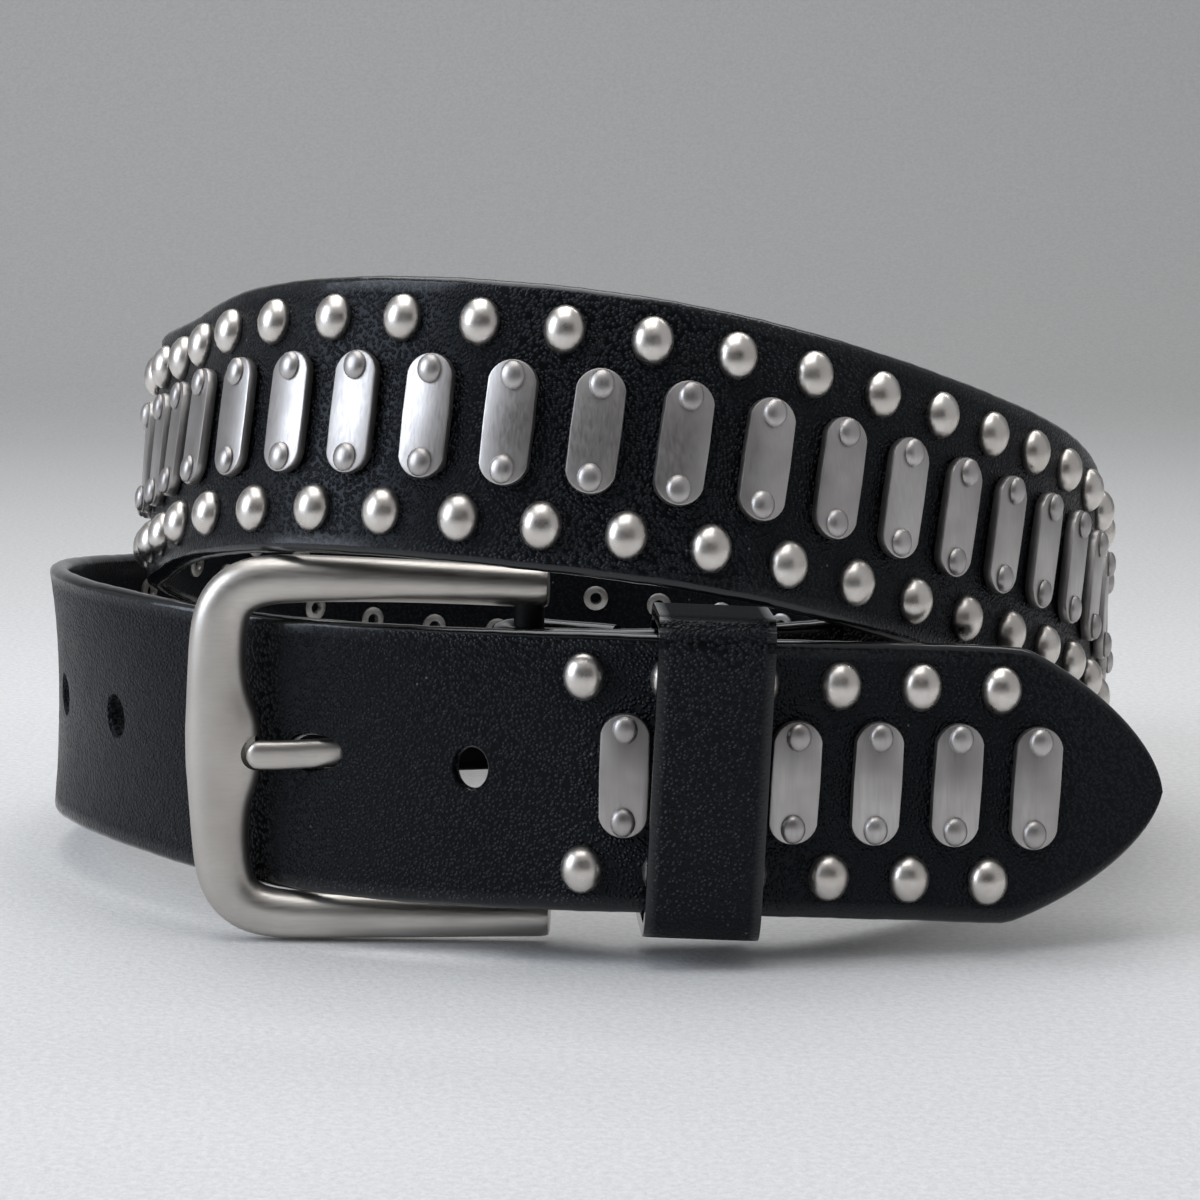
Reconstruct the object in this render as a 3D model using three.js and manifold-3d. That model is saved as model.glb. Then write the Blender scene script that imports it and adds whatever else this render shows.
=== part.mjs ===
// A studded leather belt, fastened to a loop and stood on its edge in two turns.
// Millimetres, +Z up. The buckle is at the front, towards -Y. The origin is under the middle, on the floor.
import * as THREE from 'three';
import { mergeVertices } from 'three/addons/utils/BufferGeometryUtils.js';
import Module from 'manifold-3d';

const wasm = await Module();
wasm.setup();

// Strap
const STRAP_WIDTH = 40;
const STRAP_THICKNESS = 3;
const EDGE_CHAMFER = 0.7;
const TIP_LENGTH = 27;
const TIP_CURVE = 1.9; // exponent of the pointed end's outline, 1 would be a straight-sided arrow
const TIP_BLUNT = 1.2; // half-width left at the very point
const COIL_RADIUS = 83;
const SECTION_STEP = 9;

// Holes
const HOLE_COUNT = 5;
const FIRST_HOLE_FROM_HEEL = 7; // along the free end, past where it crosses the heel bar
const HOLE_PITCH = 22.2;
const HOLE_LENGTH = 5;
const HOLE_HEIGHT = 5.8;
const USED_HOLE = 1; // counted from 0 at the tip
const USED_HOLE_LENGTH = 11.5; // the prong has stretched it

// Pattern of dome studs and upright plates
const PATTERN_PITCH = 11.82;
const STUD_ROW = 13.76; // from the strap's centreline
const STUD_RADIUS = 3.1;
const STUD_HEIGHT = 2.4;
const STUD_FOOT = 1.06; // share of STUD_RADIUS, where the dome goes into the leather
const STUD_SHOULDER = 0.74; // share of both STUD_RADIUS and STUD_HEIGHT
const STUD_SIDES = 10;
const TAIL_PLATE_FROM_HEEL = 15; // along the free end, from the last plate to where it crosses the heel bar
const TAIL_PLATES = 6;
const BODY_FIRST_COLUMN = 392.2; // from the tip, where the strap starts to climb to the upper turn
const BODY_COLUMNS = 35;
const PLATE_WIDTH = 7.2;
const PLATE_HEIGHT = 17.7;
const PLATE_THICKNESS = 1.6;

// Buckle
const BUCKLE_LENGTH = 53;
const BUCKLE_HEIGHT = 57;
const BUCKLE_DEPTH = 6;
const SIDE_BAR = 5.8; // at its thick end
const SIDE_BAR_END = 4.5;
const FRONT_BAR = 8.4;
const HEEL_INSET = 3; // of the heel bar's axis from the square-cut ends
const HEEL_RADIUS = 2.2;
const NOTCH_RADIUS = 2.6;
const FRONT_BAR_SPAN = 1.5 * FRONT_BAR; // of the frame's length, taken up by the bowed front bar

// Prong
const PRONG_WIDTH = 4.3;
const PRONG_THICKNESS = 2.6;
const PRONG_EYE_WALL = 1.5;
const PRONG_TIP_INSET = 0.35; // of FRONT_BAR, from the middle of the front bar back to the tip
const PRONG_SUNK = 0.2; // of its middle at the tip, below the front of the bar
const PRONG_TIP = 0.6; // the tip's section, as a share of the prong's

// Fold of the strap round the heel bar
const FOLD_LAP = 12;
const SLOT_SIDE = 0.8; // clear above and below the prong's eye
const RIVET_RADIUS = 1.6;
const RIVET_HEAD = 3.2;
const RIVET_HEAD_THICKNESS = 0.8;
const RIVET_FROM_BAR = 7;
const RIVET_SIDES = 10;
const RIVET_HOLE_STRETCH = 1.5; // length over height of the rivet's holes, as the lap closes at a slant

// Keeper
const KEEPER_WIDTH = 16.4;
const KEEPER_THICKNESS = 2;
const KEEPER_FROM_HEEL = 27.6; // along the free end, from its middle to where the free end crosses the heel bar
const KEEPER_SIDE = 1.1; // clear above and below the strap
const KEEPER_ROUND = 2.5;

const CLEAR = 0.3; // between pieces that touch
const EMBED = 1; // of a stud's foot in the leather
const SEARCH_STEP = 0.5; // along the strap, when a crossing is looked for

// The strap's route, from the tip round the coil to the heel bar. turn: degrees round the coil from its
// front, clockwise from above. out: distance from the coil's middle, as a share of COIL_RADIUS.
// lift: how far the lower edge is off the floor, as a share of BUCKLE_HEIGHT, as the upper turn rests on the
// buckle. lean: degrees, the top edge inwards.
const ROUTE = [
  { turn: -53.2, out: 1.278, lift: 0.031, lean: 5.3 },
  { turn: -36.6, out: 1.084, lift: 0.084, lean: 4.7 },
  { turn: -21.3, out: 0.993, lift: 0.112, lean: 0.5 },
  { turn: -6, out: 0.945, lift: 0.131, lean: 2.8 },
  { turn: 10, out: 0.913, lift: 0.132, lean: 4.7 },
  { turn: 26, out: 0.911, lift: 0.13, lean: 4.3 },
  { turn: 44, out: 0.927, lift: 0.132, lean: 1.2 },
  { turn: 64, out: 0.962, lift: 0.142, lean: -2.2 },
  { turn: 90, out: 1.001, lift: 0.105, lean: 1.5 },
  { turn: 125, out: 0.946, lift: 0.011, lean: 0.1 },
  { turn: 160, out: 0.95, lift: 0, lean: 0 },
  { turn: 195, out: 0.99, lift: 0.007, lean: 0 },
  { turn: 230, out: 1.045, lift: 0.063, lean: 2 },
  { turn: 262, out: 1.001, lift: 0.211, lean: -0.8 },
  { turn: 290, out: 0.955, lift: 0.499, lean: 1.4 },
  { turn: 312, out: 0.935, lift: 0.682, lean: 4.5 },
  { turn: 332, out: 0.945, lift: 0.838, lean: 11.4 },
  { turn: 350, out: 0.955, lift: 0.95, lean: 14.9 },
  { turn: 368, out: 0.93, lift: 1.001, lean: 12.6 },
  { turn: 386, out: 0.889, lift: 1.003, lean: 15.5 },
  { turn: 406, out: 0.849, lift: 0.947, lean: 15.2 },
  { turn: 428, out: 0.8, lift: 0.827, lean: 10.5 },
  { turn: 450, out: 0.809, lift: 0.73, lean: 3.8 },
  { turn: 470, out: 0.79, lift: 0.61, lean: 2.9 },
  { turn: 500, out: 0.765, lift: 0.4, lean: 1 },
  { turn: 540, out: 0.785, lift: 0.281, lean: 0 },
  { turn: 580, out: 0.825, lift: 0.196, lean: 0 },
  { turn: 620, out: 0.852, lift: 0.133, lean: 0 },
  { turn: 660, out: 0.858, lift: 0.119, lean: 1 },
  { turn: 690, out: 0.878, lift: 0.126, lean: 0 },
  { turn: 708, out: 0.876, lift: 0.126, lean: 0 },
  { turn: 726.5, out: 0.858, lift: 0.126, lean: 0 },
];

// Half of the buckle's outline, from a square-cut end to the middle of the front bar. from_heel: share of
// BUCKLE_LENGTH. drop: of the bar's middle below the outline's top, as a share of half of BUCKLE_HEIGHT.
// wide: share of FRONT_BAR.
const HALF_FRAME = [
  { from_heel: 0, drop: 0.11, wide: SIDE_BAR_END / FRONT_BAR },
  { from_heel: 0.3, drop: 0.11, wide: 0.6 },
  { from_heel: 0.66, drop: 0.108, wide: SIDE_BAR / FRONT_BAR },
  { from_heel: 0.77, drop: 0.12, wide: 0.75 },
  { from_heel: 0.845, drop: 0.18, wide: 0.82 },
  { from_heel: 0.893, drop: 0.29, wide: 0.87 },
  { from_heel: 0.91, drop: 0.43, wide: 0.9 },
  { from_heel: 0.915, drop: 0.6, wide: 0.93 },
  { from_heel: 0.91, drop: 0.82, wide: 1.12 },
  { from_heel: 0.91, drop: 1, wide: 1.14 },
];

// The prong's way from the heel bar to the front bar. from_hole: length along the strap past the used
// hole's middle, as a share of HOLE_PITCH. behind: distance behind the strap's middle, 1 is just clear of it.
const PRONG_WAY = [
  { from_hole: -0.5, behind: 1 },
  { from_hole: -0.25, behind: 1 },
  { from_hole: 0.02, behind: 0 },
];

// One quarter of the prong's section, as shares of half its width and half its thickness.
const PRONG_QUARTER = [
  { wide: 1, thick: 0.4 },
  { wide: 0.6, thick: 1 },
];

// A natural cubic spline through (x, y) pairs.
function spline(xs, ys) {
  const last = xs.length - 1;
  const bend = new Array(last + 1).fill(0);
  const carry = new Array(last + 1).fill(0);
  for (let i = 1; i < last; i++) {
    const before = xs[i] - xs[i - 1];
    const after = xs[i + 1] - xs[i];
    const pivot = 2 * (before + after) - before * carry[i - 1];
    const kink = 6 * ((ys[i + 1] - ys[i]) / after - (ys[i] - ys[i - 1]) / before);
    carry[i] = after / pivot;
    bend[i] = (kink - before * bend[i - 1]) / pivot;
  }
  for (let i = last - 1; i > 0; i--) bend[i] -= carry[i] * bend[i + 1];
  return (x) => {
    let i = 0;
    while (i < last - 1 && x > xs[i + 1]) i++;
    const gap = xs[i + 1] - xs[i];
    const b = (x - xs[i]) / gap;
    const a = 1 - b;
    const curve = ((a ** 3 - a) * bend[i] + (b ** 3 - b) * bend[i + 1]) * gap * gap / 6;
    return a * ys[i] + b * ys[i + 1] + curve;
  };
}

const turns = ROUTE.map((row) => row.turn);
const outAt = spline(turns, ROUTE.map((row) => row.out));
const liftAt = spline(turns, ROUTE.map((row) => row.lift));
const leanAt = spline(turns, ROUTE.map((row) => row.lean));

function pointAtTurn(turn) {
  const angle = THREE.MathUtils.degToRad(turn);
  const radius = COIL_RADIUS * outAt(turn);
  const height = STRAP_WIDTH / 2 + liftAt(turn) * BUCKLE_HEIGHT;
  return new THREE.Vector3(-radius * Math.sin(angle), -radius * Math.cos(angle), height);
}

// The route measured along its length, one sample a degree.
const TURN_STEP = 1;
const samples = [];
for (let turn = turns[0]; turn <= turns[turns.length - 1]; turn += TURN_STEP) {
  const point = pointAtTurn(turn);
  const previous = samples[samples.length - 1];
  const length = previous ? previous.length + point.distanceTo(previous.point) : 0;
  samples.push({ turn, length, point });
}
const ROUTE_LENGTH = samples[samples.length - 1].length;

function turnAt(length) {
  let i = 0;
  while (i < samples.length - 2 && length > samples[i + 1].length) i++;
  const share = (length - samples[i].length) / (samples[i + 1].length - samples[i].length);
  return samples[i].turn + share * TURN_STEP;
}

// Where the strap is and how it faces, at a length from the tip. out points away from the coil's middle,
// across points from the bottom edge to the top edge.
function routeFrame(length) {
  const turn = turnAt(length);
  const point = pointAtTurn(turn);
  const along = pointAtTurn(turn + 0.5).sub(pointAtTurn(turn - 0.5)).normalize();
  const level = new THREE.Vector3(0, 0, 1).cross(along).normalize();
  const rising = along.clone().cross(level);
  const lean = THREE.MathUtils.degToRad(leanAt(turn));
  const across = rising.clone().multiplyScalar(Math.cos(lean)).addScaledVector(level, -Math.sin(lean));
  const out = level.clone().multiplyScalar(Math.cos(lean)).addScaledVector(rising, Math.sin(lean));
  return { point, along, across, out };
}

// Past the route's end the strap goes round the heel bar and back along its own inner side.
const FOLD_RADIUS = HEEL_RADIUS + CLEAR + STRAP_THICKNESS / 2;
const FOLD_CLOSING = Math.asin((2 * FOLD_RADIUS - STRAP_THICKNESS - 2 * CLEAR) / (FOLD_LAP + FOLD_RADIUS));
const FOLD_ANGLE = Math.PI + FOLD_CLOSING;
const FOLD_LENGTH = FOLD_RADIUS * FOLD_ANGLE;
const STRAP_LENGTH = ROUTE_LENGTH + FOLD_LENGTH + FOLD_LAP;
const foldStart = routeFrame(ROUTE_LENGTH);
const heelAxis = foldStart.point.clone().addScaledVector(foldStart.out, -FOLD_RADIUS);

function strapFrame(length) {
  if (length <= ROUTE_LENGTH) return routeFrame(length);
  const angle = Math.min((length - ROUTE_LENGTH) / FOLD_RADIUS, FOLD_ANGLE);
  const [cos, sin] = [Math.cos(angle), Math.sin(angle)];
  const turned = (a, b, way) => a.clone().multiplyScalar(cos).addScaledVector(b, way * sin);
  const along = turned(foldStart.along, foldStart.out, -1);
  const out = turned(foldStart.out, foldStart.along, 1);
  const straight = Math.max(length - ROUTE_LENGTH - FOLD_LENGTH, 0);
  const point = heelAxis.clone().addScaledVector(out, FOLD_RADIUS).addScaledVector(along, straight);
  return { point, along, across: foldStart.across, out };
}

// The length along the free end at which it passes nearest to the heel bar. The free end takes less than
// half a turn.
function heelCrossing() {
  let best = TIP_LENGTH;
  for (let length = TIP_LENGTH; length < Math.PI * COIL_RADIUS; length += SEARCH_STEP) {
    const there = strapFrame(length).point.distanceTo(heelAxis);
    if (there < strapFrame(best).point.distanceTo(heelAxis)) best = length;
  }
  return best;
}

const tailAtHeel = heelCrossing();
const firstHole = tailAtHeel + FIRST_HOLE_FROM_HEEL;
const firstTailPlate = tailAtHeel - TAIL_PLATE_FROM_HEEL - (TAIL_PLATES - 1) * PATTERN_PITCH;

function place(frame, alongShift, acrossShift, outShift) {
  return frame.point.clone()
    .addScaledVector(frame.along, alongShift)
    .addScaledVector(frame.across, acrossShift)
    .addScaledVector(frame.out, outShift);
}

// Turns a shape built on X, Y, Z into one on the frame's across, along and out.
function frameMatrix(frame, acrossShift, outShift) {
  const matrix = new THREE.Matrix4().makeBasis(frame.across, frame.along, frame.out);
  return matrix.setPosition(place(frame, 0, acrossShift, outShift));
}

function solidOf(geometry) {
  const bare = geometry.clone();
  bare.deleteAttribute('normal');
  bare.deleteAttribute('uv');
  const merged = mergeVertices(bare, 1e-4);
  return new wasm.Manifold(new wasm.Mesh({
    numProp: 3,
    vertProperties: new Float32Array(merged.attributes.position.array),
    triVerts: new Uint32Array(merged.index.array),
  }));
}

function geometryOf(solid) {
  const mesh = solid.getMesh();
  const geometry = new THREE.BufferGeometry();
  geometry.setAttribute('position', new THREE.BufferAttribute(mesh.vertProperties, mesh.numProp));
  geometry.setIndex(new THREE.BufferAttribute(mesh.triVerts, 1));
  return geometry;
}

// A closed body through rings with the same number of points, with a flat cap at each end.
function loft(rings) {
  const count = rings[0].length;
  const points = rings.flat();
  const faces = [];
  for (let r = 0; r < rings.length - 1; r++) {
    for (let i = 0; i < count; i++) {
      const a = r * count + i;
      const b = r * count + (i + 1) % count;
      faces.push(a, b, b + count, a, b + count, a + count);
    }
  }
  const end = (rings.length - 1) * count;
  for (let i = 1; i < count - 1; i++) {
    faces.push(0, i + 1, i);
    faces.push(end, end + i, end + i + 1);
  }
  let volume = 0;
  for (let f = 0; f < faces.length; f += 3) {
    volume += points[faces[f]].dot(points[faces[f + 1]].clone().cross(points[faces[f + 2]]));
  }
  if (volume < 0) faces.reverse();
  const geometry = new THREE.BufferGeometry().setFromPoints(points);
  geometry.setIndex(faces);
  return geometry;
}

// Strap

function halfWidth(length) {
  if (length >= TIP_LENGTH) return STRAP_WIDTH / 2;
  const share = 1 - (1 - length / TIP_LENGTH) ** TIP_CURVE;
  return TIP_BLUNT + (STRAP_WIDTH / 2 - TIP_BLUNT) * share;
}

function strapRing(length) {
  const frame = strapFrame(length);
  const half = halfWidth(length);
  const face = STRAP_THICKNESS / 2;
  const inner = half - EDGE_CHAMFER;
  const side = face - EDGE_CHAMFER;
  const outline = [
    [-inner, -face], [inner, -face], [half, -side], [half, side],
    [inner, face], [-inner, face], [-half, side], [-half, -side],
  ];
  return outline.map(([w, n]) => place(frame, 0, w, n));
}

// Sections lie between the stud columns, where there are any, and evenly elsewhere.
function strapStations() {
  const TIP_STATIONS = [0, 0.04, 0.12, 0.25, 0.42, 0.65]; // shares of the pointed end
  const FOLD_STATIONS = 10;
  const stations = TIP_STATIONS.map((share) => share * TIP_LENGTH);
  const evenly = (from, to, step) => {
    const steps = Math.ceil((to - from) / step);
    for (let i = 0; i < steps; i++) stations.push(from + (to - from) * i / steps);
  };
  const tailEnd = firstTailPlate + TAIL_PLATES * PATTERN_PITCH;
  const bodyStart = BODY_FIRST_COLUMN - PATTERN_PITCH / 2;
  const bodyEnd = bodyStart + BODY_COLUMNS * PATTERN_PITCH;
  const slack = 1e-6 * PATTERN_PITCH;
  evenly(firstTailPlate, tailEnd, PATTERN_PITCH + slack);
  evenly(tailEnd, bodyStart, SECTION_STEP);
  evenly(bodyStart, bodyEnd, PATTERN_PITCH + slack);
  evenly(bodyEnd, ROUTE_LENGTH, SECTION_STEP);
  evenly(ROUTE_LENGTH, ROUTE_LENGTH + FOLD_LENGTH, FOLD_LENGTH / FOLD_STATIONS + slack);
  return [...stations, ROUTE_LENGTH + FOLD_LENGTH, STRAP_LENGTH];
}

function ovalThrough(length, holeLength, holeHeight) {
  const OVAL_SIDES = 12;
  const oval = new THREE.CylinderGeometry(0.5, 0.5, STRAP_THICKNESS * 2, OVAL_SIDES);
  oval.rotateX(Math.PI / 2).scale(holeHeight, holeLength, 1);
  return solidOf(oval.applyMatrix4(frameMatrix(strapFrame(length), 0, 0)));
}

function holeLengths() {
  return Array.from({ length: HOLE_COUNT }, (_, i) => firstHole + i * HOLE_PITCH);
}

function prongSlot() {
  const reach = 2 * (FOLD_RADIUS + STRAP_THICKNESS);
  const height = PRONG_WIDTH + 2 * SLOT_SIDE;
  const slot = new THREE.BoxGeometry(height, reach, reach);
  const matrix = frameMatrix(foldStart, 0, -FOLD_RADIUS);
  return solidOf(slot.applyMatrix4(matrix));
}

// Pattern: plates stand midway between the columns of two studs, and the free end starts with a plate.

function patternColumns() {
  const tail = Array.from({ length: TAIL_PLATES }, (_, i) => firstTailPlate + (i + 0.5) * PATTERN_PITCH);
  const body = Array.from({ length: BODY_COLUMNS }, (_, i) => BODY_FIRST_COLUMN + i * PATTERN_PITCH);
  return [...tail, ...body];
}

function stud(length, row) {
  const profile = [
    new THREE.Vector2(0, -EMBED),
    new THREE.Vector2(STUD_RADIUS * STUD_FOOT, -EMBED),
    new THREE.Vector2(STUD_RADIUS * STUD_SHOULDER, STUD_HEIGHT * STUD_SHOULDER),
    new THREE.Vector2(0, STUD_HEIGHT),
  ];
  const dome = new THREE.LatheGeometry(profile, STUD_SIDES).rotateX(Math.PI / 2);
  return solidOf(dome.applyMatrix4(frameMatrix(strapFrame(length), row * STUD_ROW, STRAP_THICKNESS / 2)));
}

function plateShape() {
  const radius = PLATE_WIDTH / 2;
  const straight = PLATE_HEIGHT / 2 - radius;
  const shape = new THREE.Shape();
  shape.absarc(straight, 0, radius, -Math.PI / 2, Math.PI / 2);
  shape.absarc(-straight, 0, radius, Math.PI / 2, 3 * Math.PI / 2);
  return shape;
}

function plate(length) {
  const ROUND_END_SEGMENTS = 5;
  const bar = new THREE.ExtrudeGeometry(plateShape(), {
    depth: PLATE_THICKNESS, bevelEnabled: false, curveSegments: ROUND_END_SEGMENTS,
  });
  return solidOf(bar.applyMatrix4(frameMatrix(strapFrame(length), 0, STRAP_THICKNESS / 2 + CLEAR)));
}

function plateLengths() {
  const tail = Array.from({ length: TAIL_PLATES }, (_, i) => firstTailPlate + i * PATTERN_PITCH);
  const firstBodyPlate = BODY_FIRST_COLUMN + PATTERN_PITCH / 2;
  const body = Array.from({ length: BODY_COLUMNS - 1 }, (_, i) => firstBodyPlate + i * PATTERN_PITCH);
  return [...tail, ...body];
}

function strap() {
  const leather = solidOf(loft(strapStations().map(strapRing)));
  const holes = holeLengths().map((length, i) =>
    ovalThrough(length, i === USED_HOLE ? USED_HOLE_LENGTH : HOLE_LENGTH, HOLE_HEIGHT));
  const rivetHole = 2 * (RIVET_RADIUS + CLEAR);
  const rivetHoles = [rivetLength(), lapRivetLength()].map((length) =>
    ovalThrough(length, rivetHole * RIVET_HOLE_STRETCH, rivetHole));
  const cut = leather.subtract(wasm.Manifold.union([...holes, ...rivetHoles, prongSlot()]));
  const studs = patternColumns().flatMap((length) => [stud(length, -1), stud(length, 1)]);
  return wasm.Manifold.union([cut, ...studs]);
}

// Buckle

// The frame's own directions: from the heel bar to the front bar, up, and towards the front.
const tailAtFront = strapFrame(tailAtHeel + BUCKLE_LENGTH - FRONT_BAR_SPAN);
const frontMiddle = place(tailAtFront, 0, 0, STRAP_THICKNESS / 2 + 2 * CLEAR + BUCKLE_DEPTH / 2);
const reach = frontMiddle.clone().sub(heelAxis).setZ(0).normalize();
const facing = new THREE.Vector3(0, 0, 1).cross(reach).normalize();
const buckleMiddle = new THREE.Vector3(heelAxis.x, heelAxis.y, BUCKLE_HEIGHT / 2);

function bucklePoint(fromHeel, up, front) {
  return buckleMiddle.clone()
    .addScaledVector(reach, fromHeel - HEEL_INSET)
    .addScaledVector(facing, front)
    .setZ(buckleMiddle.z + up);
}

function buckleBar() {
  const BAR_SIDES = 12;
  const upper = HALF_FRAME.map((row) => ({ ...row, up: 1 - row.drop }));
  const lower = upper.slice(0, -1).map((row) => ({ ...row, up: -row.up })).reverse();
  const rows = [...upper, ...lower];
  const middle = rows.map((row) => [row.from_heel * BUCKLE_LENGTH, row.up * BUCKLE_HEIGHT / 2]);
  const rings = rows.map((row, i) => {
    const from = middle[Math.max(i - 1, 0)];
    const to = middle[Math.min(i + 1, rows.length - 1)];
    const heading = Math.atan2(to[1] - from[1], to[0] - from[0]);
    const half = row.wide * FRONT_BAR / 2;
    return Array.from({ length: BAR_SIDES }, (_, k) => {
      const angle = 2 * Math.PI * (k + 0.5) / BAR_SIDES;
      const side = half * Math.cos(angle);
      const front = BUCKLE_DEPTH / 2 * Math.sin(angle);
      const fromHeel = middle[i][0] - side * Math.sin(heading);
      return bucklePoint(fromHeel, middle[i][1] + side * Math.cos(heading), front);
    });
  });
  return solidOf(loft(rings));
}

function heelBar() {
  const span = (1 - HALF_FRAME[0].drop) * BUCKLE_HEIGHT;
  const bar = new THREE.CylinderGeometry(HEEL_RADIUS, HEEL_RADIUS, span, STUD_SIDES).rotateX(Math.PI / 2);
  return solidOf(bar.translate(buckleMiddle.x, buckleMiddle.y, buckleMiddle.z));
}

const prongRise = foldStart.point.z; // the prong lies at the strap's middle
const frontBarOut = HALF_FRAME[HALF_FRAME.length - 1].from_heel * BUCKLE_LENGTH;

// A round groove in the front of the front bar, from its inner side to its middle.
function notch() {
  const cut = new THREE.CylinderGeometry(NOTCH_RADIUS, NOTCH_RADIUS, FRONT_BAR * 2, STUD_SIDES);
  cut.rotateZ(Math.PI / 2);
  const matrix = new THREE.Matrix4().makeBasis(reach, facing, new THREE.Vector3(0, 0, 1));
  const at = bucklePoint(frontBarOut - FRONT_BAR, 0, BUCKLE_DEPTH / 2).setZ(prongRise);
  return solidOf(cut.applyMatrix4(matrix.setPosition(at)));
}

function buckleFrame() {
  return wasm.Manifold.union([buckleBar(), heelBar()]).subtract(notch());
}

// Prong

function prong() {
  const EYE_SEGMENTS = 7;
  const eye = new THREE.Shape().absarc(0, 0, HEEL_RADIUS + CLEAR + PRONG_EYE_WALL, 0, 2 * Math.PI);
  eye.holes.push(new THREE.Path().absarc(0, 0, HEEL_RADIUS + CLEAR, 0, 2 * Math.PI));
  const ring = new THREE.ExtrudeGeometry(eye, {
    depth: PRONG_WIDTH, bevelEnabled: false, curveSegments: EYE_SEGMENTS,
  });
  ring.translate(buckleMiddle.x, buckleMiddle.y, prongRise - PRONG_WIDTH / 2);
  const behind = -(STRAP_THICKNESS / 2 + CLEAR + PRONG_THICKNESS / 2);
  const used = firstHole + USED_HOLE * HOLE_PITCH;
  const beside = (row) => {
    const frame = strapFrame(used + row.from_hole * HOLE_PITCH);
    return place(frame, 0, 0, row.behind * behind).setZ(prongRise);
  };
  const eyeOuter = HEEL_RADIUS + CLEAR + PRONG_EYE_WALL / 2;
  const tipOut = frontBarOut - FRONT_BAR * PRONG_TIP_INSET;
  const inNotch = bucklePoint(tipOut, 0, BUCKLE_DEPTH / 2 - PRONG_SUNK).setZ(prongRise);
  const path = new THREE.CatmullRomCurve3([
    buckleMiddle.clone().setZ(prongRise).addScaledVector(reach, eyeOuter),
    ...PRONG_WAY.map(beside),
    inNotch.clone().addScaledVector(reach, -2 * NOTCH_RADIUS),
    inNotch,
  ], false, 'centripetal');
  const quarter = PRONG_QUARTER.map((row) => [row.wide, row.thick]);
  const half = [...quarter, ...quarter.map(([w, n]) => [-w, n]).reverse()];
  const section = [...half, ...half.map(([w, n]) => [-w, -n])];
  const STATIONS = 12;
  const rings = [];
  for (let i = 0; i <= STATIONS; i++) {
    const point = path.getPoint(i / STATIONS);
    const along = path.getTangent(i / STATIONS);
    const side = new THREE.Vector3(0, 0, 1).cross(along).normalize();
    const full = i === STATIONS ? PRONG_TIP : 1;
    const wide = PRONG_WIDTH / 2 * full;
    const thick = PRONG_THICKNESS / 2 * full;
    const corner = ([w, n]) => point.clone().addScaledVector(side, n * thick).setZ(point.z + w * wide);
    rings.push(section.map(corner));
  }
  return wasm.Manifold.union([solidOf(ring), solidOf(loft(rings))]);
}

// Keeper

function keeper() {
  const keeperMiddle = tailAtHeel - KEEPER_FROM_HEEL;
  const frame = strapFrame(keeperMiddle);
  const frontOf = (length) => strapFrame(length).point.sub(frame.point).dot(frame.out);
  const WATCHED = [-0.6, -0.3, 0, 0.3, 0.6]; // shares of its width, to a little past both edges
  const span = WATCHED.map((share) => share * KEEPER_WIDTH);
  const buckleEnd = nearestBuckleEndLength(frame);
  const foremost = Math.max(...span.map((shift) => frontOf(keeperMiddle + shift)));
  const rearmost = Math.min(...span.map((shift) => frontOf(buckleEnd + shift)));
  const front = foremost + STRAP_THICKNESS / 2 + STUD_HEIGHT + CLEAR;
  const back = rearmost - STRAP_THICKNESS / 2 - CLEAR;
  const high = STRAP_WIDTH / 2 + KEEPER_SIDE;
  const ring = roundedBox(-high - KEEPER_THICKNESS, back - KEEPER_THICKNESS, high + KEEPER_THICKNESS,
    front + KEEPER_THICKNESS, KEEPER_ROUND, new THREE.Shape());
  const hole = roundedBox(-high, back, high, front, KEEPER_ROUND - KEEPER_THICKNESS, new THREE.Path());
  ring.holes.push(hole);
  const loop = new THREE.ExtrudeGeometry(ring, { depth: KEEPER_WIDTH, bevelEnabled: false, curveSegments: 4 });
  loop.translate(0, 0, -KEEPER_WIDTH / 2);
  const matrix = new THREE.Matrix4().makeBasis(frame.across, frame.out, frame.across.clone().cross(frame.out));
  return solidOf(loop.applyMatrix4(matrix.setPosition(frame.point)));
}

function roundedBox(x0, y0, x1, y1, radius, path) {
  path.moveTo(x0 + radius, y0);
  path.lineTo(x1 - radius, y0).absarc(x1 - radius, y0 + radius, radius, -Math.PI / 2, 0);
  path.lineTo(x1, y1 - radius).absarc(x1 - radius, y1 - radius, radius, 0, Math.PI / 2);
  path.lineTo(x0 + radius, y1).absarc(x0 + radius, y1 - radius, radius, Math.PI / 2, Math.PI);
  path.lineTo(x0, y0 + radius).absarc(x0 + radius, y0 + radius, radius, Math.PI, 3 * Math.PI / 2);
  return path;
}

// The length at which the strap's buckle end passes behind a place on the free end.
function nearestBuckleEndLength(frame) {
  let best = ROUTE_LENGTH;
  for (let length = ROUTE_LENGTH; length > ROUTE_LENGTH - COIL_RADIUS; length -= SEARCH_STEP) {
    const there = Math.abs(strapFrame(length).point.clone().sub(frame.point).dot(frame.along));
    if (there < Math.abs(strapFrame(best).point.clone().sub(frame.point).dot(frame.along))) best = length;
  }
  return best;
}

// Rivet that closes the fold

function rivetLength() {
  return ROUTE_LENGTH - RIVET_FROM_BAR;
}

function lapRivetLength() {
  return STRAP_LENGTH - (FOLD_LAP - RIVET_FROM_BAR);
}

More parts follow.
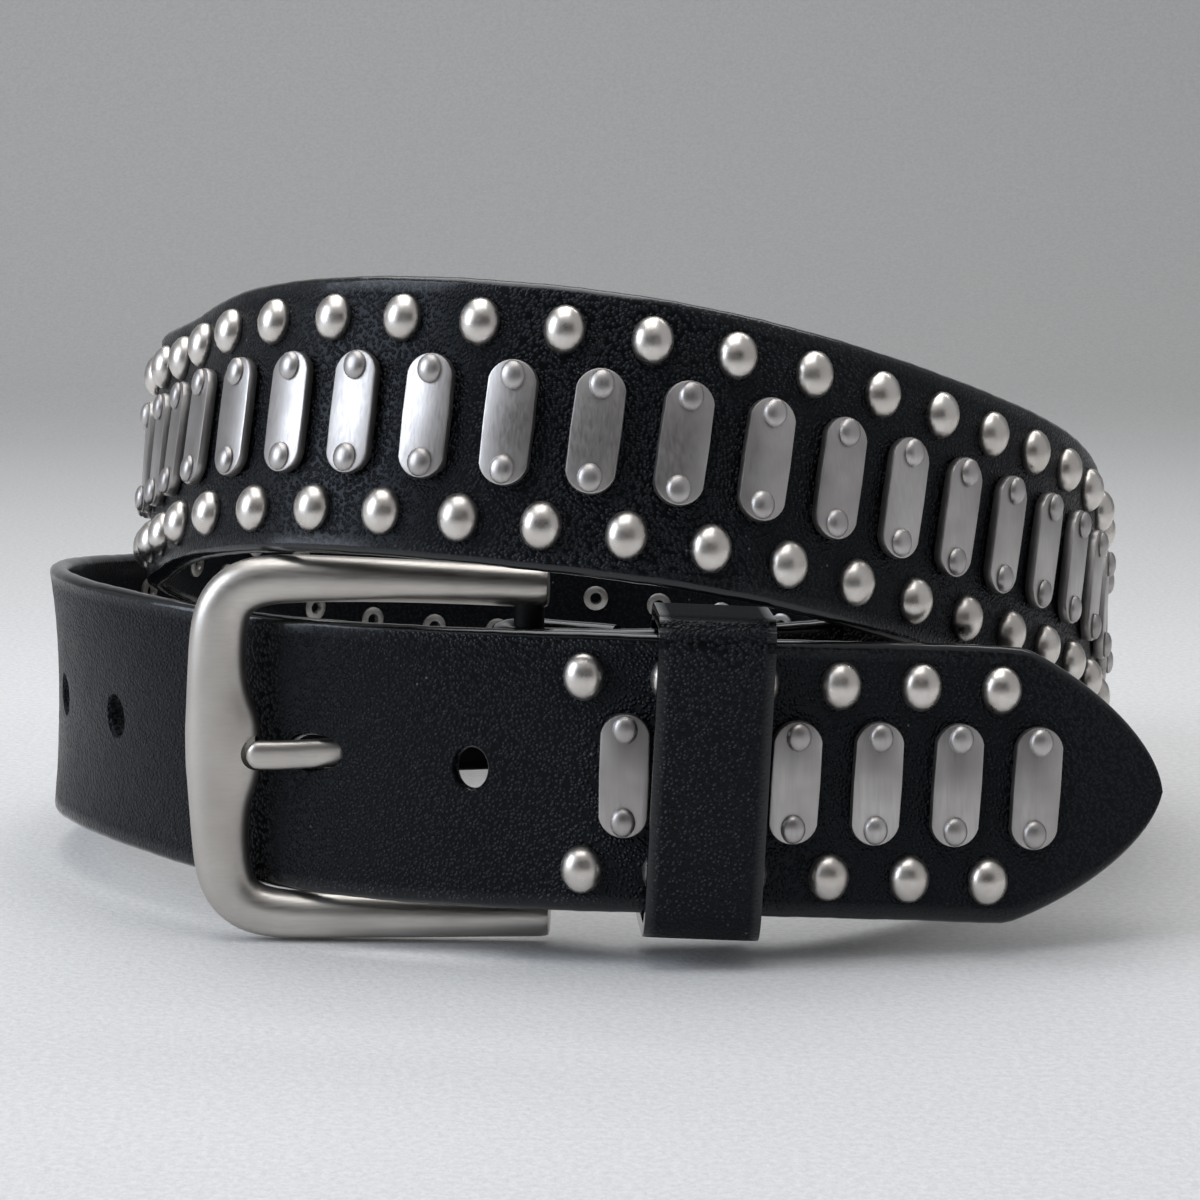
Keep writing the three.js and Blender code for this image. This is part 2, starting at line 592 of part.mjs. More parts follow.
function foldRivet() {
  const frame = strapFrame(rivetLength());
  const lap = strapFrame(lapRivetLength());
  const behind = lap.point.clone().sub(frame.point).dot(frame.out);
  const front = STRAP_THICKNESS / 2 + CLEAR;
  const back = behind - STRAP_THICKNESS / 2 - CLEAR - RIVET_HEAD * Math.sin(FOLD_CLOSING);
  const round = (radius, length, outShift) => new THREE.CylinderGeometry(radius, radius, length, RIVET_SIDES)
    .rotateX(Math.PI / 2)
    .translate(0, 0, outShift);
  const head = (outShift) => round(RIVET_HEAD, RIVET_HEAD_THICKNESS, outShift);
  const shank = round(RIVET_RADIUS, front - back + RIVET_HEAD_THICKNESS, (front + back) / 2);
  const matrix = frameMatrix(frame, 0, 0);
  const parts = [head(front + RIVET_HEAD_THICKNESS / 2), shank, head(back - RIVET_HEAD_THICKNESS / 2)];
  return wasm.Manifold.union(parts.map((part) => solidOf(part.applyMatrix4(matrix))));
}

// Assembly

const leather = { color: 0x15151b, roughness: 0.5, metalness: 0 };
const nickel = { color: 0xb5aea3, roughness: 0.35, metalness: 1 };

function piece(name, solid, look) {
  const mesh = new THREE.Mesh(geometryOf(solid), new THREE.MeshStandardMaterial(look));
  mesh.name = name;
  return mesh;
}

const group = new THREE.Group();
group.add(piece('strap', strap(), leather));
group.add(piece('buckle_frame', buckleFrame(), nickel));
group.add(piece('prong', prong(), nickel));
group.add(piece('keeper', keeper(), leather));
group.add(piece('fold_rivet', foldRivet(), nickel));
plateLengths().forEach((length, i) => {
  group.add(piece(`plate_${String(i + 1).padStart(2, '0')}`, plate(length), nickel));
});

const extent = new THREE.Box3().setFromObject(group);
group.position.set(-(extent.min.x + extent.max.x) / 2, -(extent.min.y + extent.max.y) / 2, -extent.min.z);

export default group;
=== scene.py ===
# %% [markdown]
# # A studded leather belt
#
# The belt is fastened and stands on its edge, coiled in two turns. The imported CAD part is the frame: it
# stays where it is, and the pieces made here are fitted to it. Lengths are in metres, +Z is up, and the
# buckle is at the front, towards -Y.

import math

import bmesh
import bpy
import numpy as np
from mathutils import Matrix, Vector


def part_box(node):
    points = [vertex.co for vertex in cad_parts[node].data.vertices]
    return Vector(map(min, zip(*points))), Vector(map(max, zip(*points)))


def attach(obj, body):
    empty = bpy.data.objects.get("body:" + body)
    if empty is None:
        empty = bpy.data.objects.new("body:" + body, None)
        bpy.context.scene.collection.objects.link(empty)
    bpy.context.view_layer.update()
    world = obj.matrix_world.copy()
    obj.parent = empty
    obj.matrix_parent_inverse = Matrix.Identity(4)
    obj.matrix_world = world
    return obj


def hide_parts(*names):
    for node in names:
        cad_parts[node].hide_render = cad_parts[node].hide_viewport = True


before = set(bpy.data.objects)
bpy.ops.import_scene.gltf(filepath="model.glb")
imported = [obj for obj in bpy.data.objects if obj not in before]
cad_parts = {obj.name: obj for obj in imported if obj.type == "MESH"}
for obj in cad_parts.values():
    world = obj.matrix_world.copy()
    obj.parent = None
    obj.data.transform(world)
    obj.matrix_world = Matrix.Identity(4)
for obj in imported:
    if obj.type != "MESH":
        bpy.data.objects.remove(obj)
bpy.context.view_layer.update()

# %% [markdown]
# ## The strap's route
#
# A real strap is cut flat and then bent by hand. The coil could be drawn with a curve object, but the
# strap also leans and rises, so its route is a short table, read by a natural spline: how far round the
# coil (turn, degrees), how far out, how far the lower edge is lifted off the floor, and how much the top
# edge leans inwards. It is the same table that the CAD part was built from.

# %% Sizes and the route's table
MM = 0.001
STRAP_WIDTH = 40 * MM
STRAP_THICKNESS = 3 * MM
COIL_RADIUS = 83 * MM
CLEAR = 0.3 * MM
HEEL_RADIUS = 2.2 * MM
BUCKLE_HEIGHT = 57 * MM
FOLD_LAP = 12 * MM

# Columns: turn in degrees, out in COIL_RADIUS, lift in BUCKLE_HEIGHT, lean in degrees.
ROUTE = np.array([
    (-53.2, 1.278, 0.031, 5.3), (-36.6, 1.084, 0.084, 4.7), (-21.3, 0.993, 0.112, 0.5),
    (-6, 0.945, 0.131, 2.8), (10, 0.913, 0.132, 4.7), (26, 0.911, 0.13, 4.3), (44, 0.927, 0.132, 1.2),
    (64, 0.962, 0.142, -2.2), (90, 1.001, 0.105, 1.5), (125, 0.946, 0.011, 0.1), (160, 0.95, 0, 0),
    (195, 0.99, 0.007, 0), (230, 1.045, 0.063, 2), (262, 1.001, 0.211, -0.8), (290, 0.955, 0.499, 1.4),
    (312, 0.935, 0.682, 4.5), (332, 0.945, 0.838, 11.4), (350, 0.955, 0.95, 14.9),
    (368, 0.93, 1.001, 12.6), (386, 0.889, 1.003, 15.5), (406, 0.849, 0.947, 15.2),
    (428, 0.8, 0.827, 10.5), (450, 0.809, 0.73, 3.8), (470, 0.79, 0.61, 2.9), (500, 0.765, 0.4, 1),
    (540, 0.785, 0.281, 0), (580, 0.825, 0.196, 0), (620, 0.852, 0.133, 0), (660, 0.858, 0.119, 1),
    (690, 0.878, 0.126, 0), (708, 0.876, 0.126, 0), (726.5, 0.858, 0.126, 0),
])


def natural_spline(xs, ys, at):
    """Values at the given places of the smooth curve through (xs, ys)."""
    n = len(xs)
    gaps = np.diff(xs)
    system = np.eye(n)
    kinks = np.zeros(n)
    for i in range(1, n - 1):
        system[i, i - 1:i + 2] = gaps[i - 1], 2 * (gaps[i - 1] + gaps[i]), gaps[i]
        kinks[i] = 6 * ((ys[i + 1] - ys[i]) / gaps[i] - (ys[i] - ys[i - 1]) / gaps[i - 1])
    bend = np.linalg.solve(system, kinks)
    i = np.clip(np.searchsorted(xs, at) - 1, 0, n - 2)
    b = (at - xs[i]) / gaps[i]
    a = 1 - b
    curve = ((a ** 3 - a) * bend[i] + (b ** 3 - b) * bend[i + 1]) * gaps[i] ** 2 / 6
    return a * ys[i] + b * ys[i + 1] + curve


def unit(vectors):
    return vectors / np.linalg.norm(vectors, axis=-1, keepdims=True)


# %% The route, sampled along its length
TURN_STEP = 0.25
turns = np.arange(ROUTE[0, 0], ROUTE[-1, 0] + TURN_STEP / 2, TURN_STEP)
angles = np.radians(turns)
radii = COIL_RADIUS * natural_spline(ROUTE[:, 0], ROUTE[:, 1], turns)
rises = STRAP_WIDTH / 2 + BUCKLE_HEIGHT * natural_spline(ROUTE[:, 0], ROUTE[:, 2], turns)
leans = np.radians(natural_spline(ROUTE[:, 0], ROUTE[:, 3], turns))[:, None]
points = np.stack([-radii * np.sin(angles), -radii * np.cos(angles), rises], axis=-1)
lengths = np.concatenate([[0], np.cumsum(np.linalg.norm(np.diff(points, axis=0), axis=1))])
alongs = unit(np.gradient(points, lengths, axis=0))
levels = unit(np.cross([0, 0, 1], alongs))
risings = np.cross(alongs, levels)
acrosses = np.cos(leans) * risings - np.sin(leans) * levels
outs = np.cos(leans) * levels + np.sin(leans) * risings
ROUTE_LENGTH = lengths[-1]

FOLD_RADIUS = HEEL_RADIUS + CLEAR + STRAP_THICKNESS / 2
FOLD_CLOSING = math.asin((2 * FOLD_RADIUS - STRAP_THICKNESS - 2 * CLEAR) / (FOLD_LAP + FOLD_RADIUS))
FOLD_ANGLE = math.pi + FOLD_CLOSING
FOLD_LENGTH = FOLD_RADIUS * FOLD_ANGLE
STRAP_LENGTH = ROUTE_LENGTH + FOLD_LENGTH + FOLD_LAP
print(f"route {ROUTE_LENGTH:.4f} m, whole strap {STRAP_LENGTH:.4f} m")


def strap_frames(at):
    """Where the strap's middle is at these lengths from the tip, and its along, across and out directions."""
    at = np.atleast_1d(np.asarray(at, float))
    read = lambda table: np.stack([np.interp(at, lengths, table[:, k]) for k in range(3)], axis=-1)
    point, along, across, out = read(points), unit(read(alongs)), unit(read(acrosses)), unit(read(outs))
    past = np.maximum(at - ROUTE_LENGTH, 0)[:, None]
    angle = np.minimum(past / FOLD_RADIUS, FOLD_ANGLE)
    heel = points[-1] - FOLD_RADIUS * outs[-1]
    folded_along = np.cos(angle) * alongs[-1] - np.sin(angle) * outs[-1]
    folded_out = np.cos(angle) * outs[-1] + np.sin(angle) * alongs[-1]
    straight = np.maximum(past - FOLD_LENGTH, 0)
    folded = heel + FOLD_RADIUS * folded_out + straight * folded_along
    is_fold = past > 0
    point = np.where(is_fold, folded, point)
    return point, np.where(is_fold, folded_along, along), across, np.where(is_fold, folded_out, out)


# %% [markdown]
# The table counts from the coil's middle, and the CAD part is moved so that its box is centred. The
# plates tell by how much: the middle of each plate's box is compared with its place on the route.

# %% Match the route to the CAD part
PATTERN_PITCH = 11.82 * MM
STUD_ROW = 13.76 * MM
TAIL_FIRST_PLATE = 21.4 * MM
TAIL_PLATES = 6
CAD_FIRST_COLUMN = 392.2 * MM
PLATE_WIDTH, PLATE_HEIGHT, PLATE_THICKNESS = 7.2 * MM, 17.7 * MM, 1.6 * MM

cad_plates = sorted(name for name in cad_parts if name.startswith("plate_"))
cad_plate_at = [TAIL_FIRST_PLATE + i * PATTERN_PITCH for i in range(TAIL_PLATES)]
cad_plate_at += [CAD_FIRST_COLUMN + (i + 0.5) * PATTERN_PITCH for i in range(len(cad_plates) - TAIL_PLATES)]
point, _, _, out = strap_frames(cad_plate_at)
expected = point + (STRAP_THICKNESS / 2 + CLEAR + PLATE_THICKNESS / 2) * out
found = np.array([(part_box(name)[0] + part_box(name)[1]) / 2 for name in cad_plates])
coil_middle = (found - expected).mean(axis=0)
print("coil's middle:", coil_middle, "largest miss:", np.abs(found - expected - coil_middle).max())
points += coil_middle

# %% [markdown]
# ## Materials
#
# The leather is black, pressed with a fine pebbled grain, and its edges are painted. The metal is nickel
# with a satin brush. Effects that several finishes use are node groups that put out colours, masks or
# heights, and the shader stays in the material, where the export can read it.

# %% Helpers for node trees
def new_group(name, inputs, outputs):
    group = bpy.data.node_groups.new(name, "ShaderNodeTree")
    for label, kind, value in inputs:
        socket = group.interface.new_socket(name=label, in_out="INPUT", socket_type=kind)
        if value is not None:
            socket.default_value = value
    for label, kind in outputs:
        group.interface.new_socket(name=label, in_out="OUTPUT", socket_type=kind)
    return group, group.nodes.new("NodeGroupInput"), group.nodes.new("NodeGroupOutput")


def add_node(tree, kind, values=None, **settings):
    node = tree.nodes.new(kind)
    for key, value in settings.items():
        setattr(node, key, value)
    for key, value in (values or {}).items():
        node.inputs[key].default_value = value
    return node


def math_node(tree, operation, a, b=None, c=None):
    node = add_node(tree, "ShaderNodeMath", operation=operation)
    for i, value in enumerate((a, b, c)):
        if isinstance(value, bpy.types.NodeSocket):
            tree.links.new(value, node.inputs[i])
        elif value is not None:
            node.inputs[i].default_value = value
    return node.outputs[0]


def remap(tree, value, low, high, to_low=0.0, to_high=1.0):
    node = add_node(tree, "ShaderNodeMapRange", {1: low, 2: high, 3: to_low, 4: to_high})
    tree.links.new(value, node.inputs[0])
    return node.outputs[0]


def mix_colours(tree, share, a, b):
    node = add_node(tree, "ShaderNodeMix", data_type="RGBA")
    if isinstance(share, bpy.types.NodeSocket):
        tree.links.new(share, node.inputs["Factor"])
    else:
        node.inputs["Factor"].default_value = share
    for value, socket in ((a, node.inputs[6]), (b, node.inputs[7])):
        if isinstance(value, bpy.types.NodeSocket):
            tree.links.new(value, socket)
        else:
            socket.default_value = value
    return node.outputs[2]


# %% [markdown]
# ### Pebbled grain
#
# Embossed leather is a field of small rounded cells with creases between them. A Voronoi texture
# gives the cells; its coordinates are shaken by noise so that the cells aren't even. The leather's colour
# uses the crease mask for painted shade in the creases and painted highlights on the cells' tops.

# %% Group: pebbled grain
grain, grain_in, grain_out = new_group(
    "pebbled grain",
    [("Vector", "NodeSocketVector", None), ("Cells per metre", "NodeSocketFloat", 1400.0),
     ("Unevenness", "NodeSocketFloat", 0.5)],
    [("Height", "NodeSocketFloat"), ("Crease", "NodeSocketFloat"), ("Cloud", "NodeSocketFloat")],
)
shake = add_node(grain, "ShaderNodeTexNoise", {"Scale": 1100.0, "Detail": 2.0})
grain.links.new(grain_in.outputs["Vector"], shake.inputs["Vector"])
centred = add_node(grain, "ShaderNodeVectorMath", {1: (0.5, 0.5, 0.5)}, operation="SUBTRACT")
grain.links.new(shake.outputs["Color"], centred.inputs[0])
shaken = add_node(grain, "ShaderNodeVectorMath", {1: (0.00016, 0.00016, 0.00016)}, operation="MULTIPLY")
grain.links.new(centred.outputs[0], shaken.inputs[0])
moved = add_node(grain, "ShaderNodeVectorMath", operation="ADD")
grain.links.new(grain_in.outputs["Vector"], moved.inputs[0])
grain.links.new(shaken.outputs[0], moved.inputs[1])
cells = add_node(grain, "ShaderNodeTexVoronoi", {"Randomness": 1.0}, feature="SMOOTH_F1")
cells.inputs["Smoothness"].default_value = 0.15
grain.links.new(moved.outputs[0], cells.inputs["Vector"])
grain.links.new(grain_in.outputs["Cells per metre"], cells.inputs["Scale"])
dome = remap(grain, cells.outputs["Distance"], 0.1, 0.6, 1.0, 0.0)
cloud = add_node(grain, "ShaderNodeTexNoise", {"Scale": 55.0, "Detail": 3.0, "Roughness": 0.55})
grain.links.new(grain_in.outputs["Vector"], cloud.inputs["Vector"])
cloud_share = remap(grain, cloud.outputs[0], 0.3, 0.7)
lift = math_node(grain, "MULTIPLY", cloud_share, grain_in.outputs["Unevenness"])
grain.links.new(math_node(grain, "ADD", dome, lift), grain_out.inputs["Height"])
grain.links.new(math_node(grain, "SUBTRACT", 1.0, dome), grain_out.inputs["Crease"])
grain.links.new(cloud_share, grain_out.inputs["Cloud"])

# %% [markdown]
# ### Dust
#
# A belt that has been handled carries tiny pale specks. They are rare, so a fine noise is cut off high.

# %% Group: specks of dust
dust, dust_in, dust_out = new_group(
    "dust specks",
    [("Vector", "NodeSocketVector", None), ("Amount", "NodeSocketFloat", 0.5)],
    [("Speck", "NodeSocketFloat")],
)
speckle = add_node(dust, "ShaderNodeTexVoronoi", {"Scale": 420.0, "Randomness": 1.0})
dust.links.new(dust_in.outputs["Vector"], speckle.inputs["Vector"])
dot = remap(dust, speckle.outputs["Distance"], 0.05, 0.09, 1.0, 0.0)
patch = add_node(dust, "ShaderNodeTexNoise", {"Scale": 160.0, "Detail": 1.0})
dust.links.new(dust_in.outputs["Vector"], patch.inputs["Vector"])
rare = remap(dust, patch.outputs[0], 0.58, 0.66)
dust.links.new(
    math_node(dust, "MULTIPLY", math_node(dust, "MULTIPLY", dot, rare), dust_in.outputs["Amount"]),
    dust_out.inputs["Speck"],
)

# %% [markdown]
# ### Brushed metal
#
# Brushing leaves fine lines one way. Noise stretched along that way gives the lines, and a slower noise
# gives the cloudy tarnish of old nickel.

# %% Group: brush lines
brush, brush_in, brush_out = new_group(
    "brush lines",
    [("Vector", "NodeSocketVector", None), ("Stretch", "NodeSocketVector", (1.0, 1.0, 1.0)),
     ("Tarnish size", "NodeSocketFloat", 90.0)],
    [("Lines", "NodeSocketFloat"), ("Tarnish", "NodeSocketFloat")],
)
stretched = add_node(brush, "ShaderNodeVectorMath", operation="MULTIPLY")
brush.links.new(brush_in.outputs["Vector"], stretched.inputs[0])
brush.links.new(brush_in.outputs["Stretch"], stretched.inputs[1])
fine = add_node(brush, "ShaderNodeTexNoise", {"Scale": 1.0, "Detail": 3.0, "Roughness": 0.6})
brush.links.new(stretched.outputs[0], fine.inputs["Vector"])
brush.links.new(remap(brush, fine.outputs[0], 0.3, 0.7), brush_out.inputs["Lines"])
slow = add_node(brush, "ShaderNodeTexNoise", {"Detail": 2.0, "Roughness": 0.5})
brush.links.new(brush_in.outputs["Vector"], slow.inputs["Vector"])
brush.links.new(brush_in.outputs["Tarnish size"], slow.inputs["Scale"])
brush.links.new(remap(brush, slow.outputs[0], 0.3, 0.7), brush_out.inputs["Tarnish"])


# %% [markdown]
# ### The leather
#
# One recipe serves the strap and the keeper. Two attributes of the mesh tell it where it is: "edge" is 1
# on the painted edge, which has a glossy coat, and "inner" is 1 on the plain, duller side.

# %% Leather material
def leather(name, cells, bump, rough, base, crease_shade_and_tone, paint):
    material = bpy.data.materials.new(name)
    material.use_nodes = True
    tree = material.node_tree
    shader = tree.nodes["Principled BSDF"]
    where = add_node(tree, "ShaderNodeTexCoord")
    pebbles = add_node(tree, "ShaderNodeGroup", node_tree=grain)
    pebbles.inputs["Cells per metre"].default_value = cells
    tree.links.new(where.outputs["Object"], pebbles.inputs["Vector"])
    specks = add_node(tree, "ShaderNodeGroup", node_tree=dust)
    tree.links.new(where.outputs["Object"], specks.inputs["Vector"])
    edge = add_node(tree, "ShaderNodeAttribute", attribute_name="edge").outputs["Fac"]
    inner = add_node(tree, "ShaderNodeAttribute", attribute_name="inner").outputs["Fac"]
    # Painted light: the cells' tops take the lighter colour as painted highlight, and the creases the darkest
    # one as painted shade.
    face = mix_colours(tree, pebbles.outputs["Crease"], base, crease_shade_and_tone)
    cloudy = mix_colours(tree, math_node(tree, "MULTIPLY", pebbles.outputs["Cloud"], 0.35), face, crease_shade_and_tone)
    painted = mix_colours(tree, edge, cloudy, paint)
    dusty = mix_colours(tree, specks.outputs["Speck"], painted, (0.22, 0.22, 0.22, 1))
    tree.links.new(dusty, shader.inputs["Base Color"])
    rougher = remap(tree, pebbles.outputs["Cloud"], 0.0, 1.0, rough - 0.04, rough + 0.05)
    on_edge = math_node(tree, "MULTIPLY", edge, -0.2)
    on_inner = math_node(tree, "MULTIPLY", inner, 0.5)
    tree.links.new(
        math_node(tree, "ADD", math_node(tree, "ADD", rougher, on_edge), on_inner),
        shader.inputs["Roughness"],
    )
    plain = math_node(tree, "SUBTRACT", 1.0, math_node(tree, "MAXIMUM", edge, inner))
    height = math_node(tree, "MULTIPLY", pebbles.outputs["Height"], plain)
    relief = add_node(tree, "ShaderNodeBump", {"Strength": 1.0, "Distance": bump})
    tree.links.new(height, relief.inputs["Height"])
    tree.links.new(relief.outputs[0], shader.inputs["Normal"])
    shader.inputs["Specular IOR Level"].default_value = 0.2
    shader.inputs["Specular Tint"].default_value = (0.8, 0.88, 1, 1)
    tree.links.new(math_node(tree, "MULTIPLY", edge, 0.9), shader.inputs["Coat Weight"])
    shader.inputs["Coat Roughness"].default_value = 0.16
    return material


# The gap between the first two colours paints highlights on the pebbles and shade in their creases; the
# darkest colour also gives the random cloudy tone.
PEBBLE_TONE_AND_HIGHLIGHT, CREASE_SHADE_AND_TONE, PAINT = (0.0105, 0.0114, 0.0148, 1), (0.0008, 0.0009, 0.0012, 1), (0.0022, 0.0024, 0.0032, 1)
PEBBLES_PER_METRE, PEBBLE_HEIGHT, LEATHER_ROUGH = 1750.0, 0.00026, 0.36
strap_leather, keeper_leather = (
    leather(name, PEBBLES_PER_METRE, PEBBLE_HEIGHT, LEATHER_ROUGH, PEBBLE_TONE_AND_HIGHLIGHT, CREASE_SHADE_AND_TONE, PAINT)
    for name in ("black pebbled leather", "black smooth leather")
)


# %% [markdown]
# ### The nickel
#
# Each kind of piece was brushed in its own way, so one function makes the finish and takes the lines'
# stretch, the roughness and the tarnish. A vertex mask paints the colour near-black as shade, and makes it
# rougher, on the heel bar inside the strap's fold and on the hidden part of the prong behind the strap.

# %% Nickel material
def nickel(name, bright, dull, stretch, rough, bump, tarnish):
    material = bpy.data.materials.new(name)
    material.use_nodes = True
    tree = material.node_tree
    shader = tree.nodes["Principled BSDF"]
    where = add_node(tree, "ShaderNodeTexCoord")
    lines = add_node(tree, "ShaderNodeGroup", node_tree=brush)
    lines.inputs["Stretch"].default_value = stretch
    lines.inputs["Tarnish size"].default_value = tarnish
    tree.links.new(where.outputs["Object"], lines.inputs["Vector"])
    aged = mix_colours(tree, lines.outputs["Tarnish"], bright, dull)
    grooved = mix_colours(tree, math_node(tree, "MULTIPLY", lines.outputs["Lines"], 0.3), aged, dull)
    painted_shade_mask = add_node(tree, "ShaderNodeAttribute", attribute_name="painted_shade").outputs["Fac"]
    # Near-black where the vertex mask is 1: painted shade on the heel bar inside the fold and on the prong
    # behind the strap.
    tree.links.new(mix_colours(tree, painted_shade_mask, grooved, (0.02, 0.02, 0.02, 1)), shader.inputs["Base Color"])
    rougher = remap(tree, lines.outputs["Lines"], 0.0, 1.0, rough - 0.05, rough + 0.08)
    duller = math_node(tree, "MULTIPLY", painted_shade_mask, 0.3)
    tree.links.new(math_node(tree, "ADD", rougher, duller), shader.inputs["Roughness"])
    shader.inputs["Metallic"].default_value = 1.0
    relief = add_node(tree, "ShaderNodeBump", {"Strength": 1.0, "Distance": bump})
    tree.links.new(lines.outputs["Lines"], relief.inputs["Height"])
    tree.links.new(relief.outputs[0], shader.inputs["Normal"])
    return material


stud_nickel = nickel(
    "satin nickel studs", (0.78, 0.75, 0.71, 1), (0.6, 0.56, 0.52, 1),
    stretch=(900, 900, 900), rough=0.31, bump=0.000003, tarnish=260.0,
)
plate_nickel = nickel(
    "brushed nickel plates", (0.58, 0.56, 0.55, 1), (0.38, 0.36, 0.35, 1),
    stretch=(2600, 2600, 160), rough=0.38, bump=0.000005, tarnish=120.0,
)
buckle_nickel = nickel(
    "brushed nickel buckle", (0.64, 0.61, 0.57, 1), (0.46, 0.43, 0.4, 1),
    stretch=(250, 3000, 3000), rough=0.35, bump=0.000005, tarnish=70.0,
)
washer_nickel = nickel(
    "plain nickel washers", (0.6, 0.59, 0.57, 1), (0.38, 0.36, 0.34, 1),
    stretch=(900, 900, 900), rough=0.42, bump=0.000004, tarnish=300.0,
)


# %% [markdown]
# ## Making pieces by hand, in code
#
# Everything that is selected takes part in an operator, so each new piece starts from nothing selected.
# Parts of a mesh are then chosen by their place.

# %% Helpers for modelling
def deselect_all():
    if bpy.context.object and bpy.context.object.mode != "OBJECT":
        bpy.ops.object.mode_set(mode="OBJECT")
    bpy.ops.object.select_all(action="DESELECT")


def make_active(piece):
    deselect_all()
    piece.select_set(True)
    bpy.context.view_layer.objects.active = piece


def named(name):
    piece = bpy.context.object
    piece.name = name
    piece.data.name = name
    return piece


def choose(piece, test, kind="VERT"):
    """Enters edit mode with only the elements selected whose middle passes the test."""
    make_active(piece)
    bpy.ops.object.mode_set(mode="EDIT")
    bpy.ops.mesh.select_mode(type=kind)
    bpy.ops.mesh.select_all(action="DESELECT")
    mesh = bmesh.from_edit_mesh(piece.data)
    if kind == "VERT":
        for v in mesh.verts:
            v.select = bool(test(v.co))
    else:
        for f in mesh.faces:
            f.select = bool(test(f.calc_center_median(), f.normal))
    mesh.select_flush_mode()
    bmesh.update_edit_mesh(piece.data)


def leave_edit():
    bpy.ops.object.mode_set(mode="OBJECT")


def apply_all(piece):
    make_active(piece)
    for modifier in list(piece.modifiers):
        bpy.ops.object.modifier_apply(modifier=modifier.name)


def face_outwards(piece):
    choose(piece, lambda co: True)
    bpy.ops.mesh.normals_make_consistent(inside=False)
    leave_edit()


def soften(piece, width, segments=2):
    bevel = piece.modifiers.new("rim", "BEVEL")
    bevel.width, bevel.segments, bevel.limit_method = width, segments, "ANGLE"
    apply_all(piece)


def subdivide_smoothly(piece, levels):
    rounder = piece.modifiers.new("rounder", "SUBSURF")
    rounder.levels = rounder.render_levels = levels
    apply_all(piece)


def cut_away(piece, cutter):
    cut = piece.modifiers.new("cut", "BOOLEAN")
    cut.operation, cut.solver, cut.object = "DIFFERENCE", "EXACT", cutter
    apply_all(piece)
    bpy.data.objects.remove(cutter)


def settle(piece):
    """Puts the piece's place, turn and size into its mesh."""
    make_active(piece)
    bpy.ops.object.transform_apply(location=True, rotation=True, scale=True)


def join(pieces, name):
    deselect_all()
    for piece in pieces:
        piece.select_set(True)
    bpy.context.view_layer.objects.active = pieces[0]
    if len(pieces) > 1:
        bpy.ops.object.join()
    return named(name)


def smooth(piece, degrees=35):
    make_active(piece)
    bpy.ops.object.shade_smooth_by_angle(angle=math.radians(degrees))


def mesh_arrays(piece):
    count = len(piece.data.vertices)
    places = np.empty(count * 3)
    piece.data.vertices.foreach_get("co", places)
    return places.reshape(-1, 3)


def set_places(piece, places):
    piece.data.vertices.foreach_set("co", np.ascontiguousarray(places, float).ravel())
    piece.data.update()


def mask_points(piece, name, mask):
    """Stores a 0 to 1 value on each vertex, which the materials read by its name."""
    attribute = piece.data.attributes.new(name, "FLOAT", "POINT")
    attribute.data.foreach_set("value", np.asarray(mask, np.float32))


def triangles(piece):
    return sum(len(face.vertices) - 2 for face in piece.data.polygons)


def rolled_sheet(name, rows, around):
    """A grid that is to be rolled to a tube, with the row and the place round the tube of each vertex."""
    deselect_all()
    bpy.ops.mesh.primitive_grid_add(x_subdivisions=rows - 1, y_subdivisions=around, size=1)
    piece = named(name)
    flat = mesh_arrays(piece)
    row = np.rint((flat[:, 0] + 0.5) * (rows - 1)).astype(int)
    col = np.rint((flat[:, 1] + 0.5) * around).astype(int) % around
    return piece, row, col


def close_tube(piece):
    """Joins the rolled sheet's two long sides and closes its ends."""
    choose(piece, lambda co: True)
    bpy.ops.mesh.remove_doubles(threshold=1e-7)
    bpy.ops.mesh.select_all(action="DESELECT")
    bpy.ops.mesh.select_non_manifold()
    bpy.ops.mesh.fill_holes(sides=0)
    bpy.ops.mesh.select_all(action="SELECT")
    bpy.ops.mesh.normals_make_consistent(inside=False)
    leave_edit()


def finish_piece(piece, material, nodes):
    piece.data.materials.clear()
    piece.data.materials.append(material)
    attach(piece, "root")
    if nodes:
        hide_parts(*nodes)
    print(f"{piece.name}: {triangles(piece)} triangles")


# %% [markdown]
# ## Where the pattern sits
#
# Columns of two dome studs stand a pitch apart, with an upright plate midway between them. The free end
# carries six plates. Behind it the strap is plain where the holes are, and from there on the pattern runs
# to a little before the buckle.

# %% Columns and plates
BODY_COLUMNS_BEFORE = 13
BODY_COLUMNS = 62
body_first = CAD_FIRST_COLUMN - BODY_COLUMNS_BEFORE * PATTERN_PITCH
tail_columns = TAIL_FIRST_PLATE + (np.arange(TAIL_PLATES) + 0.5) * PATTERN_PITCH
body_columns = body_first + np.arange(BODY_COLUMNS) * PATTERN_PITCH
tail_plates = TAIL_FIRST_PLATE + np.arange(TAIL_PLATES) * PATTERN_PITCH
body_plates = body_columns[:-1] + PATTERN_PITCH / 2
columns = np.concatenate([tail_columns, body_columns])
plates_at = np.concatenate([tail_plates, body_plates])
print(f"{len(columns)} columns of studs and {len(plates_at)} plates, body from {body_first:.3f} m")


